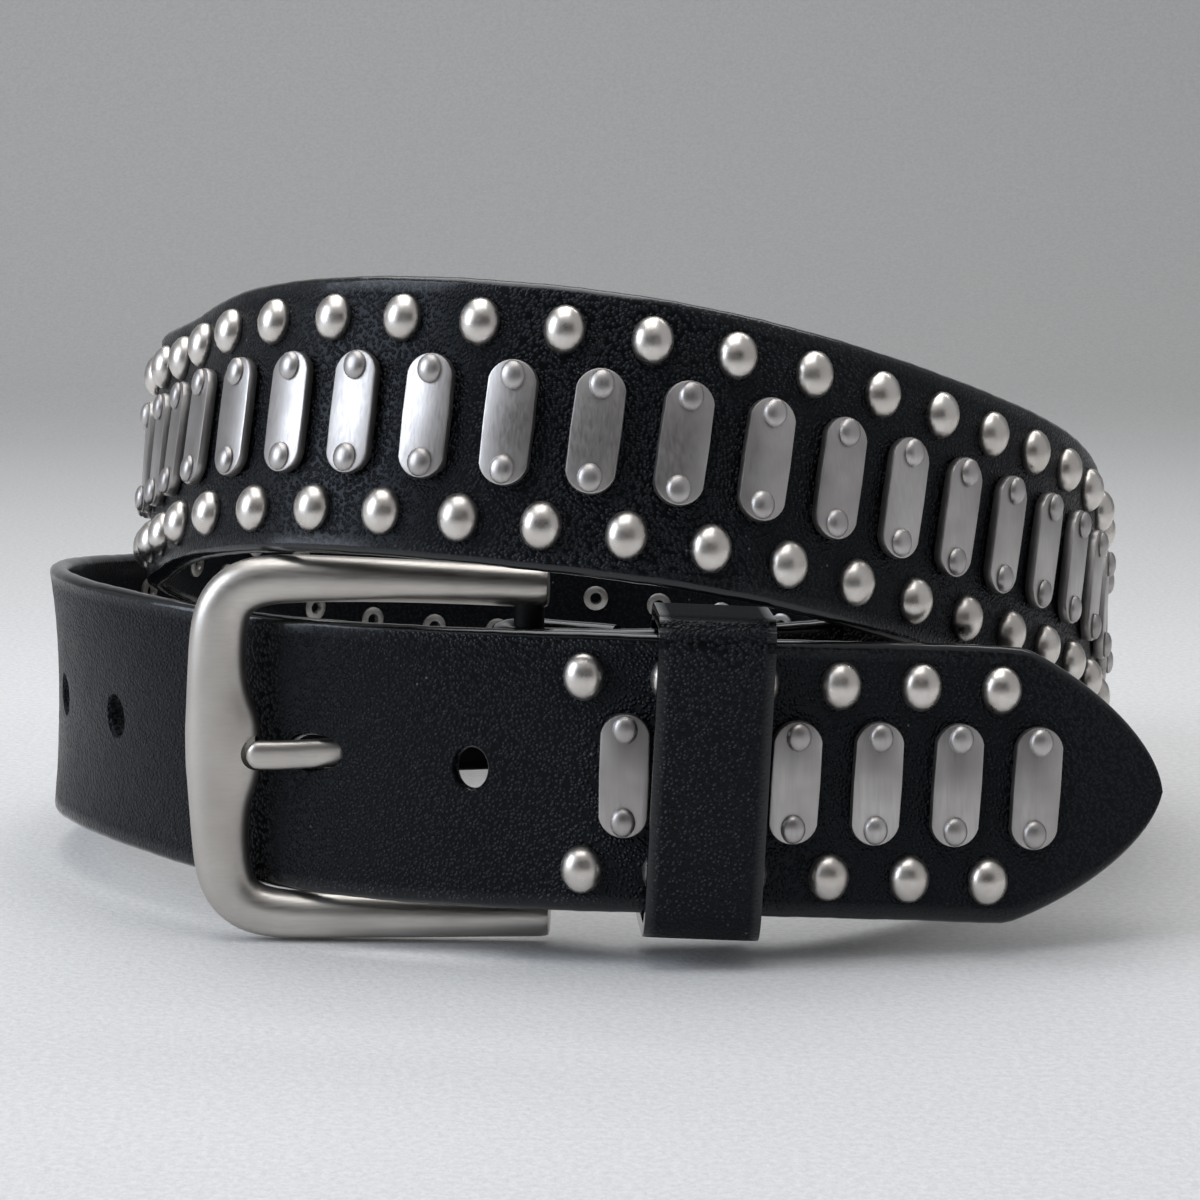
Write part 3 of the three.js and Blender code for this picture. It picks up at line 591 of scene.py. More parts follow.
def copies(template, at, across_shifts, out_shift, name, inward=False):
    """Copies a small piece, built on across, along and out, to each place, as one mesh."""
    shape = mesh_arrays(template)
    faces = [tuple(face.vertices) for face in template.data.polygons]
    source = template.data.uv_layers.active
    flat = np.array([loop.uv[:] for loop in source.data]) if source else None
    point, along, across, out = strap_frames(at)
    places, all_faces, uvs = [], [], []
    for i in range(len(point)):
        for shift in across_shifts:
            middle = point[i] + shift * across[i] + out_shift * out[i]
            axes = np.array([across[i], along[i], out[i]])
            if inward:
                axes = np.array([across[i], -along[i], -out[i]])
            start = len(places) * len(shape)
            places.append(middle + shape @ axes)
            all_faces += [tuple(v + start for v in face) for face in faces]
            if flat is not None:
                uvs.append(flat)
    mesh = bpy.data.meshes.new(name)
    mesh.from_pydata(np.concatenate(places), [], all_faces)
    if uvs:
        layer = mesh.uv_layers.new(name="place on the piece")
        layer.data.foreach_set("uv", np.concatenate(uvs).ravel())
    piece = bpy.data.objects.new(name, mesh)
    bpy.context.scene.collection.objects.link(piece)
    bpy.data.objects.remove(template)
    return piece


# %% [markdown]
# ## Strap
#
# The strap is a sheet of thick leather with rounded, painted edges. A sheet given thickness would have
# square edges, and bevelling it would pinch at the pointed end. So a fine grid is rolled round the
# strap's section, as a tube is, and each row of the tube is laid at its place on the route. The round
# edges then keep their size all the way to the point. Small things that a real strap shows go in at the
# same time: the leather sinks a little round each stud, the edges waver, and the strap is cupped where
# it bends hard at the lower left.

# %% The strap's section
EDGE_ROUND = 1.1 * MM
OUTER_POINTS, CORNER_POINTS, INNER_POINTS = 25, 5, 13
half_thick = STRAP_THICKNESS / 2


def section():
    """Points round the strap as (share of the flat half-width, how far past it, out), starting inside."""
    rows = [(share, 0.0, half_thick) for share in np.linspace(-1, 1, OUTER_POINTS)]
    for k in range(1, 2 * CORNER_POINTS):
        angle = math.pi / 2 - math.pi * k / (2 * CORNER_POINTS)
        rows.append((1.0, EDGE_ROUND * math.cos(angle), half_thick * math.sin(angle)))
    rows += [(share, 0.0, -half_thick) for share in np.linspace(1, -1, INNER_POINTS)]
    for k in range(1, 2 * CORNER_POINTS):
        angle = -math.pi / 2 - math.pi * k / (2 * CORNER_POINTS)
        rows.append((-1.0, EDGE_ROUND * math.cos(angle), half_thick * math.sin(angle)))
    return np.array(rows)


TIP_START, TIP_LENGTH, TIP_SWELL, TIP_CURVE, TIP_BLUNT = 1.1 * MM, 23 * MM, 1.15, 0.6, 0.5 * MM


def half_width(at):
    share = np.clip(1 - (at - TIP_START) / TIP_LENGTH, 0, 1)
    return TIP_BLUNT + (STRAP_WIDTH / 2 - TIP_BLUNT) * (1 - share ** TIP_SWELL) ** TIP_CURVE


# Columns: waves per metre, start in radians.
WAVES = ((31.0, 0.0), (73.0, 1.3), (167.0, 2.1), (389.0, 0.7))


def wobble(at, seed):
    """A slow, small, repeatable waver from -1 to 1."""
    total = 0
    for k, (per_metre, start) in enumerate(WAVES, 1):
        total = total + math.cos(seed * k) * np.sin(at * per_metre * 2 * math.pi + start + seed)
    return total / len(WAVES)


# %% Roll the sheet and lay it on the route
STATION_STEP = 1.6 * MM
STUD_FOOT, SINK, SINK_REACH, SINK_WINDOW = 3.1 * MM, 0.16 * MM, 2.2 * MM, 9 * MM
CUP, CUP_FROM, CUP_TO, CUP_EASE, CUP_CURVE = 1.4 * MM, 145 * MM, 225 * MM, 35 * MM, 2.2
EDGE_WAVER, EDGE_SEED = 0.12 * MM, 1.7
FACE_WAVER, FACE_SEED, FACE_SLANT, PLAIN_START, PLAIN_END = 0.1 * MM, 0.9, 0.6, 30 * MM, 60 * MM
FOLD_ROWS, LAP_ROWS, LAP_START = 16, 6, 2 * MM
ring = section()
TIP_ROWS = (0, 0.003, 0.01, 0.022, 0.04, 0.065, 0.1, 0.145, 0.2, 0.26, 0.32)
tip_stations = TIP_START + TIP_LENGTH * np.array(TIP_ROWS)
stations = np.concatenate([
    tip_stations,
    np.arange(tip_stations[-1] + STATION_STEP, ROUTE_LENGTH, STATION_STEP),
    ROUTE_LENGTH + np.linspace(0, FOLD_LENGTH, FOLD_ROWS),
    np.linspace(ROUTE_LENGTH + FOLD_LENGTH + LAP_START, STRAP_LENGTH, LAP_ROWS),
])

strap, row, col = rolled_sheet("leather_strap", len(stations), len(ring))
at = stations[row]
share, past, out_by = ring[col].T
half = half_width(at) + EDGE_WAVER * wobble(at, EDGE_SEED) * (at > TIP_LENGTH)
flat_half = np.maximum(half - EDGE_ROUND, 0)
squeezed = np.minimum(half / EDGE_ROUND, 1)
w = share * flat_half + past * squeezed
n = out_by.copy()
stud_at = np.repeat(columns, 2)
stud_across = np.tile([-STUD_ROW, STUD_ROW], len(columns))
outer = out_by > half_thick * 0.999
nearest = np.full(len(at), 1.0)
for s0, w0 in zip(stud_at, stud_across):
    near = outer & (np.abs(at - s0) < SINK_WINDOW)
    nearest[near] = np.minimum(nearest[near], np.hypot(at[near] - s0, w[near] - w0))
for s0 in plates_at:
    near = outer & (np.abs(at - s0) < SINK_WINDOW)
    beyond = np.hypot(at[near] - s0, np.maximum(np.abs(w[near]) - (PLATE_HEIGHT - PLATE_WIDTH) / 2, 0))
    nearest[near] = np.minimum(nearest[near], beyond - (PLATE_WIDTH / 2 - STUD_FOOT))
sink = SINK * np.exp(-np.maximum(nearest - STUD_FOOT, 0) ** 2 / (SINK_REACH / 2) ** 2)
n[outer] -= sink[outer]
cupped = np.clip((at - CUP_FROM) / CUP_EASE, 0, 1) * np.clip((CUP_TO - at) / CUP_EASE, 0, 1)
cupped = cupped * cupped * (3 - 2 * cupped)
n += CUP * cupped * (np.abs(w) / (STRAP_WIDTH / 2)) ** CUP_CURVE
is_plain = (at > PLAIN_START) & (at < ROUTE_LENGTH - PLAIN_END)
n += FACE_WAVER * wobble(at + w * FACE_SLANT, FACE_SEED) * is_plain
point, along, across, out = strap_frames(at)
set_places(strap, point + w[:, None] * across + n[:, None] * out)
print("strap rows:", len(stations), "points round it:", len(ring))

# %% Close the tube and name its sides
UV_LENGTH, PAINT_REACH, PAINT_FADE = 0.1, 1.5 * MM, 0.9 * MM
layer = strap.data.uv_layers.active or strap.data.uv_layers.new(name="UVMap")
for loop in strap.data.loops:
    layer.data[loop.index].uv = (at[loop.vertex_index] / UV_LENGTH, w[loop.vertex_index] / UV_LENGTH)
edge_mask = np.clip((np.abs(w) - (half - PAINT_REACH)) / PAINT_FADE, 0, 1)
inner_mask = (out_by < -0.4 * half_thick).astype(float)
mask_points(strap, "edge", edge_mask)
mask_points(strap, "inner", inner_mask * (1 - edge_mask))
close_tube(strap)
print("strap:", triangles(strap), "triangles")

# %% [markdown]
# ### Holes
#
# A punched hole has a rounded rim where the leather is pressed in. The cutter is a rolled sheet too, a
# tube that widens at both faces of the strap, so that the boolean leaves the rim round. The second hole is
# worn longer by the prong, which lies a little higher than the others' middle.

# %% Cut the holes
FIRST_HOLE, HOLE_PITCH, HOLE_COUNT, USED_HOLE = 102.5 * MM, 22.2 * MM, 5, 1
PRONG_LIFT = 0.7 * MM
HOLE_LENGTH, HOLE_HEIGHT = 4.8 * MM, 6 * MM
USED_HOLE_LENGTH, USED_HOLE_HEIGHT, USED_HOLE_SHIFT = 9 * MM, 5 * MM, 2 * MM
RIM, HOLE_SIDES = 0.45 * MM, 32
# Columns: level in half the strap's thickness, how much wider than the hole.
RIM_ROWS = (
    (-2.2, RIM), (-1.02, RIM), (-0.8, RIM * 0.35), (-0.5, 0), (0.5, 0), (0.8, RIM * 0.35), (1.02, RIM),
    (2.2, RIM),
)


def hole_cutter(at, length, height, shift):
    cutter, row, col = rolled_sheet("hole cutter", len(RIM_ROWS), HOLE_SIDES)
    level, grow = np.array(RIM_ROWS)[row].T
    angle = 2 * math.pi * col / HOLE_SIDES
    up_by = shift + (height / 2 + grow) * np.cos(angle)
    along_by = (length / 2 + grow) * np.sin(angle)
    point, along, across, out = (v[0] for v in strap_frames(at))
    shifts = up_by[:, None] * across + along_by[:, None] * along + (half_thick * level)[:, None] * out
    set_places(cutter, point + shifts)
    close_tube(cutter)
    return cutter


cutters = []
for i in range(HOLE_COUNT):
    hole_at = FIRST_HOLE + i * HOLE_PITCH
    if i == USED_HOLE:
        cutters.append(hole_cutter(hole_at + USED_HOLE_SHIFT, USED_HOLE_LENGTH, USED_HOLE_HEIGHT, PRONG_LIFT))
    else:
        cutters.append(hole_cutter(hole_at, HOLE_LENGTH, HOLE_HEIGHT, 0))
cutter = join(cutters, "hole cutters")
face_outwards(cutter)
cut_away(strap, cutter)
smooth(strap, 40)
finish_piece(strap, strap_leather, ["strap"])

# %% [markdown]
# ## Dome studs
#
# Each stud is a low dome pressed from thin metal. A UV sphere with its lower half cut away has the right
# shape and few faces, which matters because there are more than a hundred.

# %% One stud, then all of them
STUD_RADIUS, STUD_HEIGHT = 3.15 * MM, 2.5 * MM


def dome(name, across_radius, along_radius, height, segments, rings, foot):
    deselect_all()
    bpy.ops.mesh.primitive_uv_sphere_add(segments=segments, ring_count=rings, radius=1)
    piece = named(name)
    piece.scale = (across_radius, along_radius, height)
    settle(piece)
    choose(piece, lambda co: co.z < -1e-6)
    bpy.ops.mesh.delete(type="VERT")
    leave_edit()
    choose(piece, lambda co: co.z < 1e-6)
    bpy.ops.mesh.extrude_edges_move(TRANSFORM_OT_translate={"value": (0, 0, -foot)})
    bpy.ops.transform.resize(value=(0.9, 0.9, 1))
    bpy.ops.mesh.edge_face_add()
    leave_edit()
    face_outwards(piece)
    return piece


stud = dome("stud", STUD_RADIUS * 1.11, STUD_RADIUS * 0.95, STUD_HEIGHT, 20, 10, 0.5 * MM)
studs = copies(stud, columns, (-STUD_ROW, STUD_ROW), half_thick + 0.05 * MM, "dome_studs")
smooth(studs, 50)
finish_piece(studs, stud_nickel, [])

# %% [markdown]
# ## Plates
#
# An upright bar with round ends, held by a small cap at each end. A cylinder whose two halves are pulled
# apart gives the outline; its top edge is bevelled, because the real rim catches a thin bright line.

# %% One plate, then all of them
CAP_FROM_MIDDLE, CAP_RADIUS, CAP_HEIGHT = 6.6 * MM, 1.85 * MM, 0.95 * MM
CAP_FOOT, CAP_PROUD, PLATE_RIM = 0.3 * MM, 0.25 * MM, 0.3 * MM
deselect_all()
bpy.ops.mesh.primitive_cylinder_add(vertices=28, radius=PLATE_WIDTH / 2, depth=PLATE_THICKNESS)
plate = named("plate")
for side in (1, -1):
    choose(plate, lambda co: co.x * side > 1e-6)
    bpy.ops.transform.translate(value=(side * (PLATE_HEIGHT - PLATE_WIDTH) / 2, 0, 0))
    leave_edit()
soften(plate, PLATE_RIM)
caps = []
for side in (1, -1):
    cap = dome("cap", CAP_RADIUS * 1.12, CAP_RADIUS * 0.97, CAP_HEIGHT, 16, 8, CAP_FOOT)
    cap.location = (side * CAP_FROM_MIDDLE, 0, PLATE_THICKNESS / 2 + CAP_PROUD)
    settle(cap)
    caps.append(cap)
plate = join([plate, *caps], "plate")
plates = copies(plate, plates_at, (0,), half_thick + CLEAR * 0.3 + PLATE_THICKNESS / 2, "studded_plates")
smooth(plates, 40)
finish_piece(plates, plate_nickel, cad_plates)

# %% [markdown]
# ## Washers on the inner side
#
# Every stud and cap goes through the leather and is closed over a small washer inside, which shows where
# one looks into the coil.

# %% One washer, then all of them
WASHER_RADIUS, WASHER_HOLE, WASHER_HEIGHT = 2.2 * MM, 0.85 * MM, 0.6 * MM
deselect_all()
bpy.ops.mesh.primitive_cylinder_add(vertices=16, radius=WASHER_RADIUS, depth=WASHER_HEIGHT)
washer = named("washer")
choose(washer, lambda middle, normal: normal.z > 0.9, "FACE")
bpy.ops.mesh.inset(thickness=0.35 * MM)
bpy.ops.transform.translate(value=(0, 0, 0.2 * MM))
bpy.ops.mesh.inset(thickness=WASHER_RADIUS - 0.35 * MM - WASHER_HOLE - 0.25 * MM)
bpy.ops.mesh.inset(thickness=0.25 * MM)
bpy.ops.transform.translate(value=(0, 0, -0.75 * MM))
leave_edit()
washer_two = washer.copy()
washer_two.data = washer.data.copy()
bpy.context.scene.collection.objects.link(washer_two)
behind_studs = copies(washer, columns, (-STUD_ROW, STUD_ROW), -half_thick - 0.2 * MM, "stud_washers", True)
behind_caps = copies(washer_two, plates_at, (-CAP_FROM_MIDDLE, CAP_FROM_MIDDLE), -half_thick - 0.2 * MM,
                     "cap_washers", True)
washers = join([behind_studs, behind_caps], "rivet_washers")
smooth(washers, 50)
finish_piece(washers, washer_nickel, [])

# %% [markdown]
# ## Buckle frame
#
# The frame is cast: a round-edged bar that swells towards the bowed front bar, which has a notch for the
# prong. A sheet is rolled to a tube with few rows, each turned and sized for its place on the bar, and
# subdivision rounds it. A cylinder, pulled long, cuts the notch.

# %% Where the buckle sits
BUCKLE_LENGTH, BUCKLE_DEPTH = 53 * MM, 6 * MM
FRONT_BAR, HEEL_INSET = 8.4 * MM, 3 * MM
heel = points[-1] - FOLD_RADIUS * outs[-1]
frame_low, frame_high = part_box("buckle_frame")
tail_at = np.arange(TIP_LENGTH, FIRST_HOLE + HOLE_PITCH * HOLE_COUNT, 0.5 * MM)
crossing = tail_at[np.argmin(np.linalg.norm(strap_frames(tail_at)[0] - heel, axis=1))]
tail_point, _, _, tail_out = (v[0] for v in strap_frames(crossing + BUCKLE_LENGTH - 1.5 * FRONT_BAR))
front_middle = tail_point + (half_thick + 2 * CLEAR + BUCKLE_DEPTH / 2) * tail_out
reach = unit((front_middle - heel) * np.array([1, 1, 0]))
facing = np.cross([0, 0, 1], reach)
buckle_middle = np.array([heel[0], heel[1], (frame_low.z + frame_high.z) / 2])
prong_rise = points[-1][2] + PRONG_LIFT
print("heel bar at", heel, "buckle towards", reach)


def in_buckle(from_heel, up, front):
    return buckle_middle + (from_heel - HEEL_INSET) * reach + front * facing + np.array([0, 0, up])


# %% The frame's bar
# Columns: from_heel in BUCKLE_LENGTH, drop from the top in half of BUCKLE_HEIGHT, wide in FRONT_BAR.
HALF_FRAME = (
    (0, 0.162, 0.72), (0.3, 0.14, 0.74), (0.5, 0.13, 0.78), (0.68, 0.127, 0.84), (0.78, 0.135, 0.9),
    (0.845, 0.176, 0.95), (0.886, 0.258, 0.99), (0.904, 0.37, 1), (0.911, 0.53, 1), (0.911, 0.7, 1.08),
    (0.903, 0.82, 1.24), (0.898, 0.88, 1.33), (0.898, 1, 1.33),
)
upper = [(a * BUCKLE_LENGTH, (1 - d) * BUCKLE_HEIGHT / 2, t * FRONT_BAR / 2) for a, d, t in HALF_FRAME]
BAR_SIDES = 16
END_SUPPORT = 0.012
upper.insert(1, (END_SUPPORT * BUCKLE_LENGTH, *upper[0][1:]))
LOWER_BAR_DROP, LOWER_BAR_TO = 0.7 * MM, 30 * MM
bar_rows = np.array(upper + [(a, -u - LOWER_BAR_DROP * max(0, 1 - a / LOWER_BAR_TO), t)
                             for a, u, t in reversed(upper[:-1])])
BAR_SQUARENESS = 0.93


def bar_ring(i, angle):
    before, after = bar_rows[max(i - 1, 0)], bar_rows[min(i + 1, len(bar_rows) - 1)]
    heading = math.atan2(after[1] - before[1], after[0] - before[0])
    from_heel, up, half_bar = bar_rows[i]
    side = half_bar * np.sign(np.cos(angle)) * abs(np.cos(angle)) ** BAR_SQUARENESS
    front = BUCKLE_DEPTH / 2 * np.sign(np.sin(angle)) * abs(np.sin(angle)) ** BAR_SQUARENESS
    return in_buckle(from_heel - side * math.sin(heading), up + side * math.cos(heading), front)


buckle, row, col = rolled_sheet("buckle", len(bar_rows), BAR_SIDES)
set_places(buckle, np.array([bar_ring(r, 2 * math.pi * (c + 0.5) / BAR_SIDES) for r, c in zip(row, col)]))
close_tube(buckle)
subdivide_smoothly(buckle, 2)
print("buckle bar:", triangles(buckle), "triangles")

# %% Heel bar and notch
NOTCH_RADIUS, NOTCH_FLOOR, BAR_RIM = 2.6 * MM, 1.2 * MM, 0.4 * MM
deselect_all()
span = (1 - HALF_FRAME[0][1]) * BUCKLE_HEIGHT
bpy.ops.mesh.primitive_cylinder_add(vertices=32, radius=HEEL_RADIUS, depth=span, location=buckle_middle)
heel_bar = named("heel bar")
settle(heel_bar)
soften(heel_bar, BAR_RIM)
inner_edge = HALF_FRAME[-1][0] * BUCKLE_LENGTH - HALF_FRAME[-1][2] * FRONT_BAR / 2
notch_end = in_buckle(inner_edge, 0, NOTCH_FLOOR + BUCKLE_DEPTH / 2)
deselect_all()
bpy.ops.mesh.primitive_cylinder_add(vertices=48, radius=NOTCH_RADIUS, depth=2 * BUCKLE_DEPTH)
groove = named("groove")
choose(groove, lambda co: co.x > 1e-6)
bpy.ops.transform.translate(value=(FRONT_BAR, 0, 0))
leave_edit()
groove.matrix_world = Matrix((
    (-reach[0], 0, facing[0], notch_end[0]),
    (-reach[1], 0, facing[1], notch_end[1]),
    (0, -1, 0, prong_rise),
    (0, 0, 0, 1),
))
settle(groove)
face_outwards(groove)
cut_away(buckle, groove)
buckle = join([buckle, heel_bar], "buckle")
from_bar = np.hypot(*(mesh_arrays(buckle)[:, :2] - buckle_middle[:2]).T)
is_bar = (from_bar < HEEL_RADIUS * 1.02) & (np.abs(mesh_arrays(buckle)[:, 2] - buckle_middle[2]) <= span / 2)
# Painted shade: the heel bar sits inside the strap's fold, and its colour is painted near-black.
mask_points(buckle, "painted_shade", is_bar)
smooth(buckle, 40)
finish_piece(buckle, buckle_nickel, ["buckle_frame"])

# %% [markdown]
# ## Prong
#
# A flattened rod that hooks round the heel bar, comes up through the second hole and ends, rounded, in
# the notch. It is a rolled sheet again, laid on a smooth path, with an eye spun round the heel bar.

# %% Prong
PRONG_WIDTH, PRONG_THICKNESS, PRONG_EYE_WALL, EYE_RIM = 4.3 * MM, 2.6 * MM, 1.5 * MM, 0.3 * MM
behind = -(half_thick + CLEAR + PRONG_THICKNESS / 2)
used = FIRST_HOLE + USED_HOLE * HOLE_PITCH


def beside(past_hole, share):
    point, _, _, out = (v[0] for v in strap_frames(used + past_hole * HOLE_PITCH))
    place = point + share * behind * out
    return np.array([place[0], place[1], prong_rise])


# Columns: past the used hole in HOLE_PITCH, and where across the strap: 1 is behind it, -1 in front.
PRONG_WAY = ((-0.5, 1), (-0.25, 1), (0.03, 0.15), (0.2, -0.9))
PRONG_PAST_EDGE, PRONG_SUNK = 1.9 * MM, 0.5 * MM
in_notch = in_buckle(inner_edge + PRONG_PAST_EDGE, 0, BUCKLE_DEPTH / 2 - PRONG_SUNK)
in_notch[2] = prong_rise
eye = np.array([buckle_middle[0], buckle_middle[1], prong_rise])
knots = np.array([
    eye + (HEEL_RADIUS + CLEAR + PRONG_EYE_WALL / 2) * reach,
    *(beside(past_hole, stand) for past_hole, stand in PRONG_WAY),
    in_notch - 1.3 * NOTCH_RADIUS * reach,
    in_notch,
])
knot_at = np.concatenate([[0], np.cumsum(np.sqrt(np.linalg.norm(np.diff(knots, axis=0), axis=1)))])
PRONG_ROWS, PRONG_SIDES = 40, 16
way = np.linspace(0, knot_at[-1], PRONG_ROWS)
path = np.stack([natural_spline(knot_at, knots[:, k], way) for k in range(3)], axis=-1)
heading = unit(np.gradient(path, axis=0))
to_tip = np.linalg.norm(path - path[-1], axis=1)
tip_round = np.sqrt(np.clip(1 - (1 - np.clip(to_tip / (PRONG_WIDTH * 0.45), 0, 1)) ** 2, 0.03, 1))
prong, row, col = rolled_sheet("prong", PRONG_ROWS, PRONG_SIDES)
places = []
for r, c in zip(row, col):
    angle = 2 * math.pi * (c + 0.5) / PRONG_SIDES
    across_by = PRONG_WIDTH / 2 * np.sign(math.cos(angle)) * abs(math.cos(angle)) ** 0.7 * tip_round[r]
    out_by = PRONG_THICKNESS / 2 * np.sign(math.sin(angle)) * abs(math.sin(angle)) ** 0.8
    side = np.cross([0, 0, 1], heading[r])
    places.append(path[r] + out_by * tip_round[r] ** 0.6 * unit(side) + np.array([0, 0, across_by]))
set_places(prong, np.array(places))
close_tube(prong)
subdivide_smoothly(prong, 1)
deselect_all()
bpy.ops.mesh.primitive_plane_add(size=1)
loop = named("eye")
loop.scale = (PRONG_EYE_WALL, PRONG_WIDTH, 1)
loop.rotation_euler = (math.pi / 2, 0, 0)
settle(loop)
loop.location = (eye[0] + HEEL_RADIUS + CLEAR + PRONG_EYE_WALL / 2, eye[1], eye[2])
settle(loop)
choose(loop, lambda co: True)
bpy.ops.mesh.spin(steps=32, angle=2 * math.pi, center=tuple(eye), axis=(0, 0, 1))
bpy.ops.mesh.select_all(action="SELECT")
bpy.ops.mesh.remove_doubles(threshold=1e-6)
bpy.ops.mesh.normals_make_consistent(inside=False)
leave_edit()
soften(loop, EYE_RIM)
prong = join([prong, loop], "prong_detailed")
prong_places = mesh_arrays(prong)
tail_samples, _, _, tail_outs = strap_frames(tail_at)
closest = np.argmin(np.linalg.norm(prong_places[:, None, :2] - tail_samples[None, :, :2], axis=2), axis=1)
stand = np.einsum("ij,ij->i", prong_places - tail_samples[closest], tail_outs[closest])
# Painted shade: the part of the prong behind the strap is painted near-black.
mask_points(prong, "painted_shade", stand < -0.3 * MM)
smooth(prong, 45)
finish_piece(prong, buckle_nickel, ["prong"])

# %% [markdown]
# ## Keeper
#
# A band of the same leather, sewn to a loop, stands round both ends of the strap. A cube is opened at
# its two sides, its long edges are rounded, and Solidify gives the leather its thickness inwards.

# %% Keeper
KEEPER_WIDTH, KEEPER_THICKNESS, KEEPER_FROM_HEEL = 16.4 * MM, 2 * MM, 27.6 * MM
KEEPER_ROUND = 4.4 * MM
middle, along, across, out = (v[0] for v in strap_frames(crossing - KEEPER_FROM_HEEL))
keeper_node = np.array([v.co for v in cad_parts["keeper"].data.vertices])
fronts = (keeper_node - middle) @ out
highs = (keeper_node - middle) @ across
front, back = fronts.max(), fronts.min()
high, low = highs.max(), highs.min()
depth, tall = front - back, high - low
print(f"keeper {tall:.4f} tall, {depth:.4f} deep")
deselect_all()
bpy.ops.mesh.primitive_cube_add(size=1)
keeper = named("keeper_loop")
keeper.scale = (tall, KEEPER_WIDTH, depth)
settle(keeper)
choose(keeper, lambda middle, normal: abs(normal.y) > 0.9, "FACE")
bpy.ops.mesh.delete(type="ONLY_FACE")
leave_edit()
make_active(keeper)
bpy.ops.object.mode_set(mode="EDIT")
bpy.ops.mesh.select_mode(type="EDGE")
bpy.ops.mesh.select_all(action="DESELECT")
mesh = bmesh.from_edit_mesh(keeper.data)
for e in mesh.edges:
    e.select = abs((e.verts[0].co - e.verts[1].co).y) > KEEPER_WIDTH / 2
bmesh.update_edit_mesh(keeper.data)
bpy.ops.mesh.bevel(offset=KEEPER_ROUND, segments=9, profile=0.5)
leave_edit()
choose(keeper, lambda co: True)
bpy.ops.mesh.subdivide(number_cuts=9)
bpy.ops.mesh.normals_make_consistent(inside=False)
leave_edit()
shell = keeper.modifiers.new("leather", "SOLIDIFY")
shell.thickness, shell.offset, shell.use_even_offset = KEEPER_THICKNESS, -1, True
bevel = keeper.modifiers.new("rims", "BEVEL")
bevel.width, bevel.segments, bevel.limit_method, bevel.angle_limit = 0.5 * MM, 3, "ANGLE", math.radians(50)
apply_all(keeper)
flat = mesh_arrays(keeper)
BULGE, SIDE_DROP = 0.35 * MM, 0.3 * MM
front_share = np.clip(flat[:, 2] / (depth / 2), 0, 1)
flat[:, 2] -= BULGE * front_share * (2 * flat[:, 0] / tall) ** 2
flat[:, 2] -= SIDE_DROP * front_share * (2 * flat[:, 1] / KEEPER_WIDTH) ** 4
side_mask = np.clip((np.abs(flat[:, 1]) - (KEEPER_WIDTH / 2 - 0.7 * MM)) / (0.4 * MM), 0, 1)
centre = middle + (front + back) / 2 * out + (high + low) / 2 * across
set_places(keeper, centre + flat @ np.array([across, along, out]))
top_mask = np.clip((np.abs(flat[:, 0]) - (tall / 2 - 0.6 * MM)) / (0.4 * MM), 0, 1)
mask_points(keeper, "edge", side_mask)
mask_points(keeper, "inner", top_mask * (1 - side_mask))
smooth(keeper, 40)
finish_piece(keeper, keeper_leather, ["keeper"])

# %% [markdown]
# ## What stays from the CAD part
#
# The rivet that closes the fold is hidden behind the free end. It keeps its CAD shape and takes the
# metal's finish.

# %% CAD rivet
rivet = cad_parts["fold_rivet"]
rivet.data.materials.clear()
rivet.data.materials.append(washer_nickel)
for name in ("strap", "buckle_frame", "prong", "keeper", *cad_plates):
    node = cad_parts[name]
    node.data.materials.clear()
    node.data.materials.append(strap_leather if name in ("strap", "keeper") else plate_nickel)

# %% [markdown]
# ## Floor, light and camera
#
# The belt stands on pale cloth that rises behind it as a backdrop. Wide soft lights hang above, the room
# is dim, and a dark card stands behind the camera, so that the domes show a bright upper part, a darker
# middle and the floor's glow below.

# %% Floor and backdrop
def cloth(name, colour, backdrop):
    material = bpy.data.materials.new(name)
    material.use_nodes = True
    tree = material.node_tree
    shader = tree.nodes["Principled BSDF"]
    where = add_node(tree, "ShaderNodeTexCoord")
    weave = add_node(tree, "ShaderNodeTexNoise", {"Scale": 1100.0, "Detail": 3.0})
    tree.links.new(where.outputs["Object"], weave.inputs["Vector"])
    cloud = add_node(tree, "ShaderNodeTexNoise", {"Scale": 9.0, "Detail": 3.0})
    tree.links.new(where.outputs["Object"], cloud.inputs["Vector"])
    darker = tuple(0.93 * c for c in colour[:3]) + (1,)
    place = add_node(tree, "ShaderNodeSeparateXYZ")
    tree.links.new(where.outputs["Object"], place.inputs[0])
    # Painted shade: the colour darkens from the floor into the rising backdrop, for the weaker light there.
    far = remap(tree, place.outputs["Y"], 0.12, 0.62)
    clouded = mix_colours(tree, cloud.outputs[0], colour, darker)
    swept_with_painted_shade = mix_colours(tree, far, clouded, backdrop)
    threads = add_node(tree, "ShaderNodeTexNoise", {"Scale": 850.0, "Detail": 2.0, "Roughness": 0.7})
    tree.links.new(where.outputs["Object"], threads.inputs["Vector"])
    thread_share = remap(tree, threads.outputs[0], 0.35, 0.65, 0.0, 0.13)
    tree.links.new(mix_colours(tree, thread_share, swept_with_painted_shade, (0.1, 0.1, 0.1, 1)), shader.inputs["Base Color"])
    relief = add_node(tree, "ShaderNodeBump", {"Strength": 0.5, "Distance": 0.0003})
    tree.links.new(weave.outputs[0], relief.inputs["Height"])
    tree.links.new(relief.outputs[0], shader.inputs["Normal"])
    shader.inputs["Roughness"].default_value = 0.95
    return material


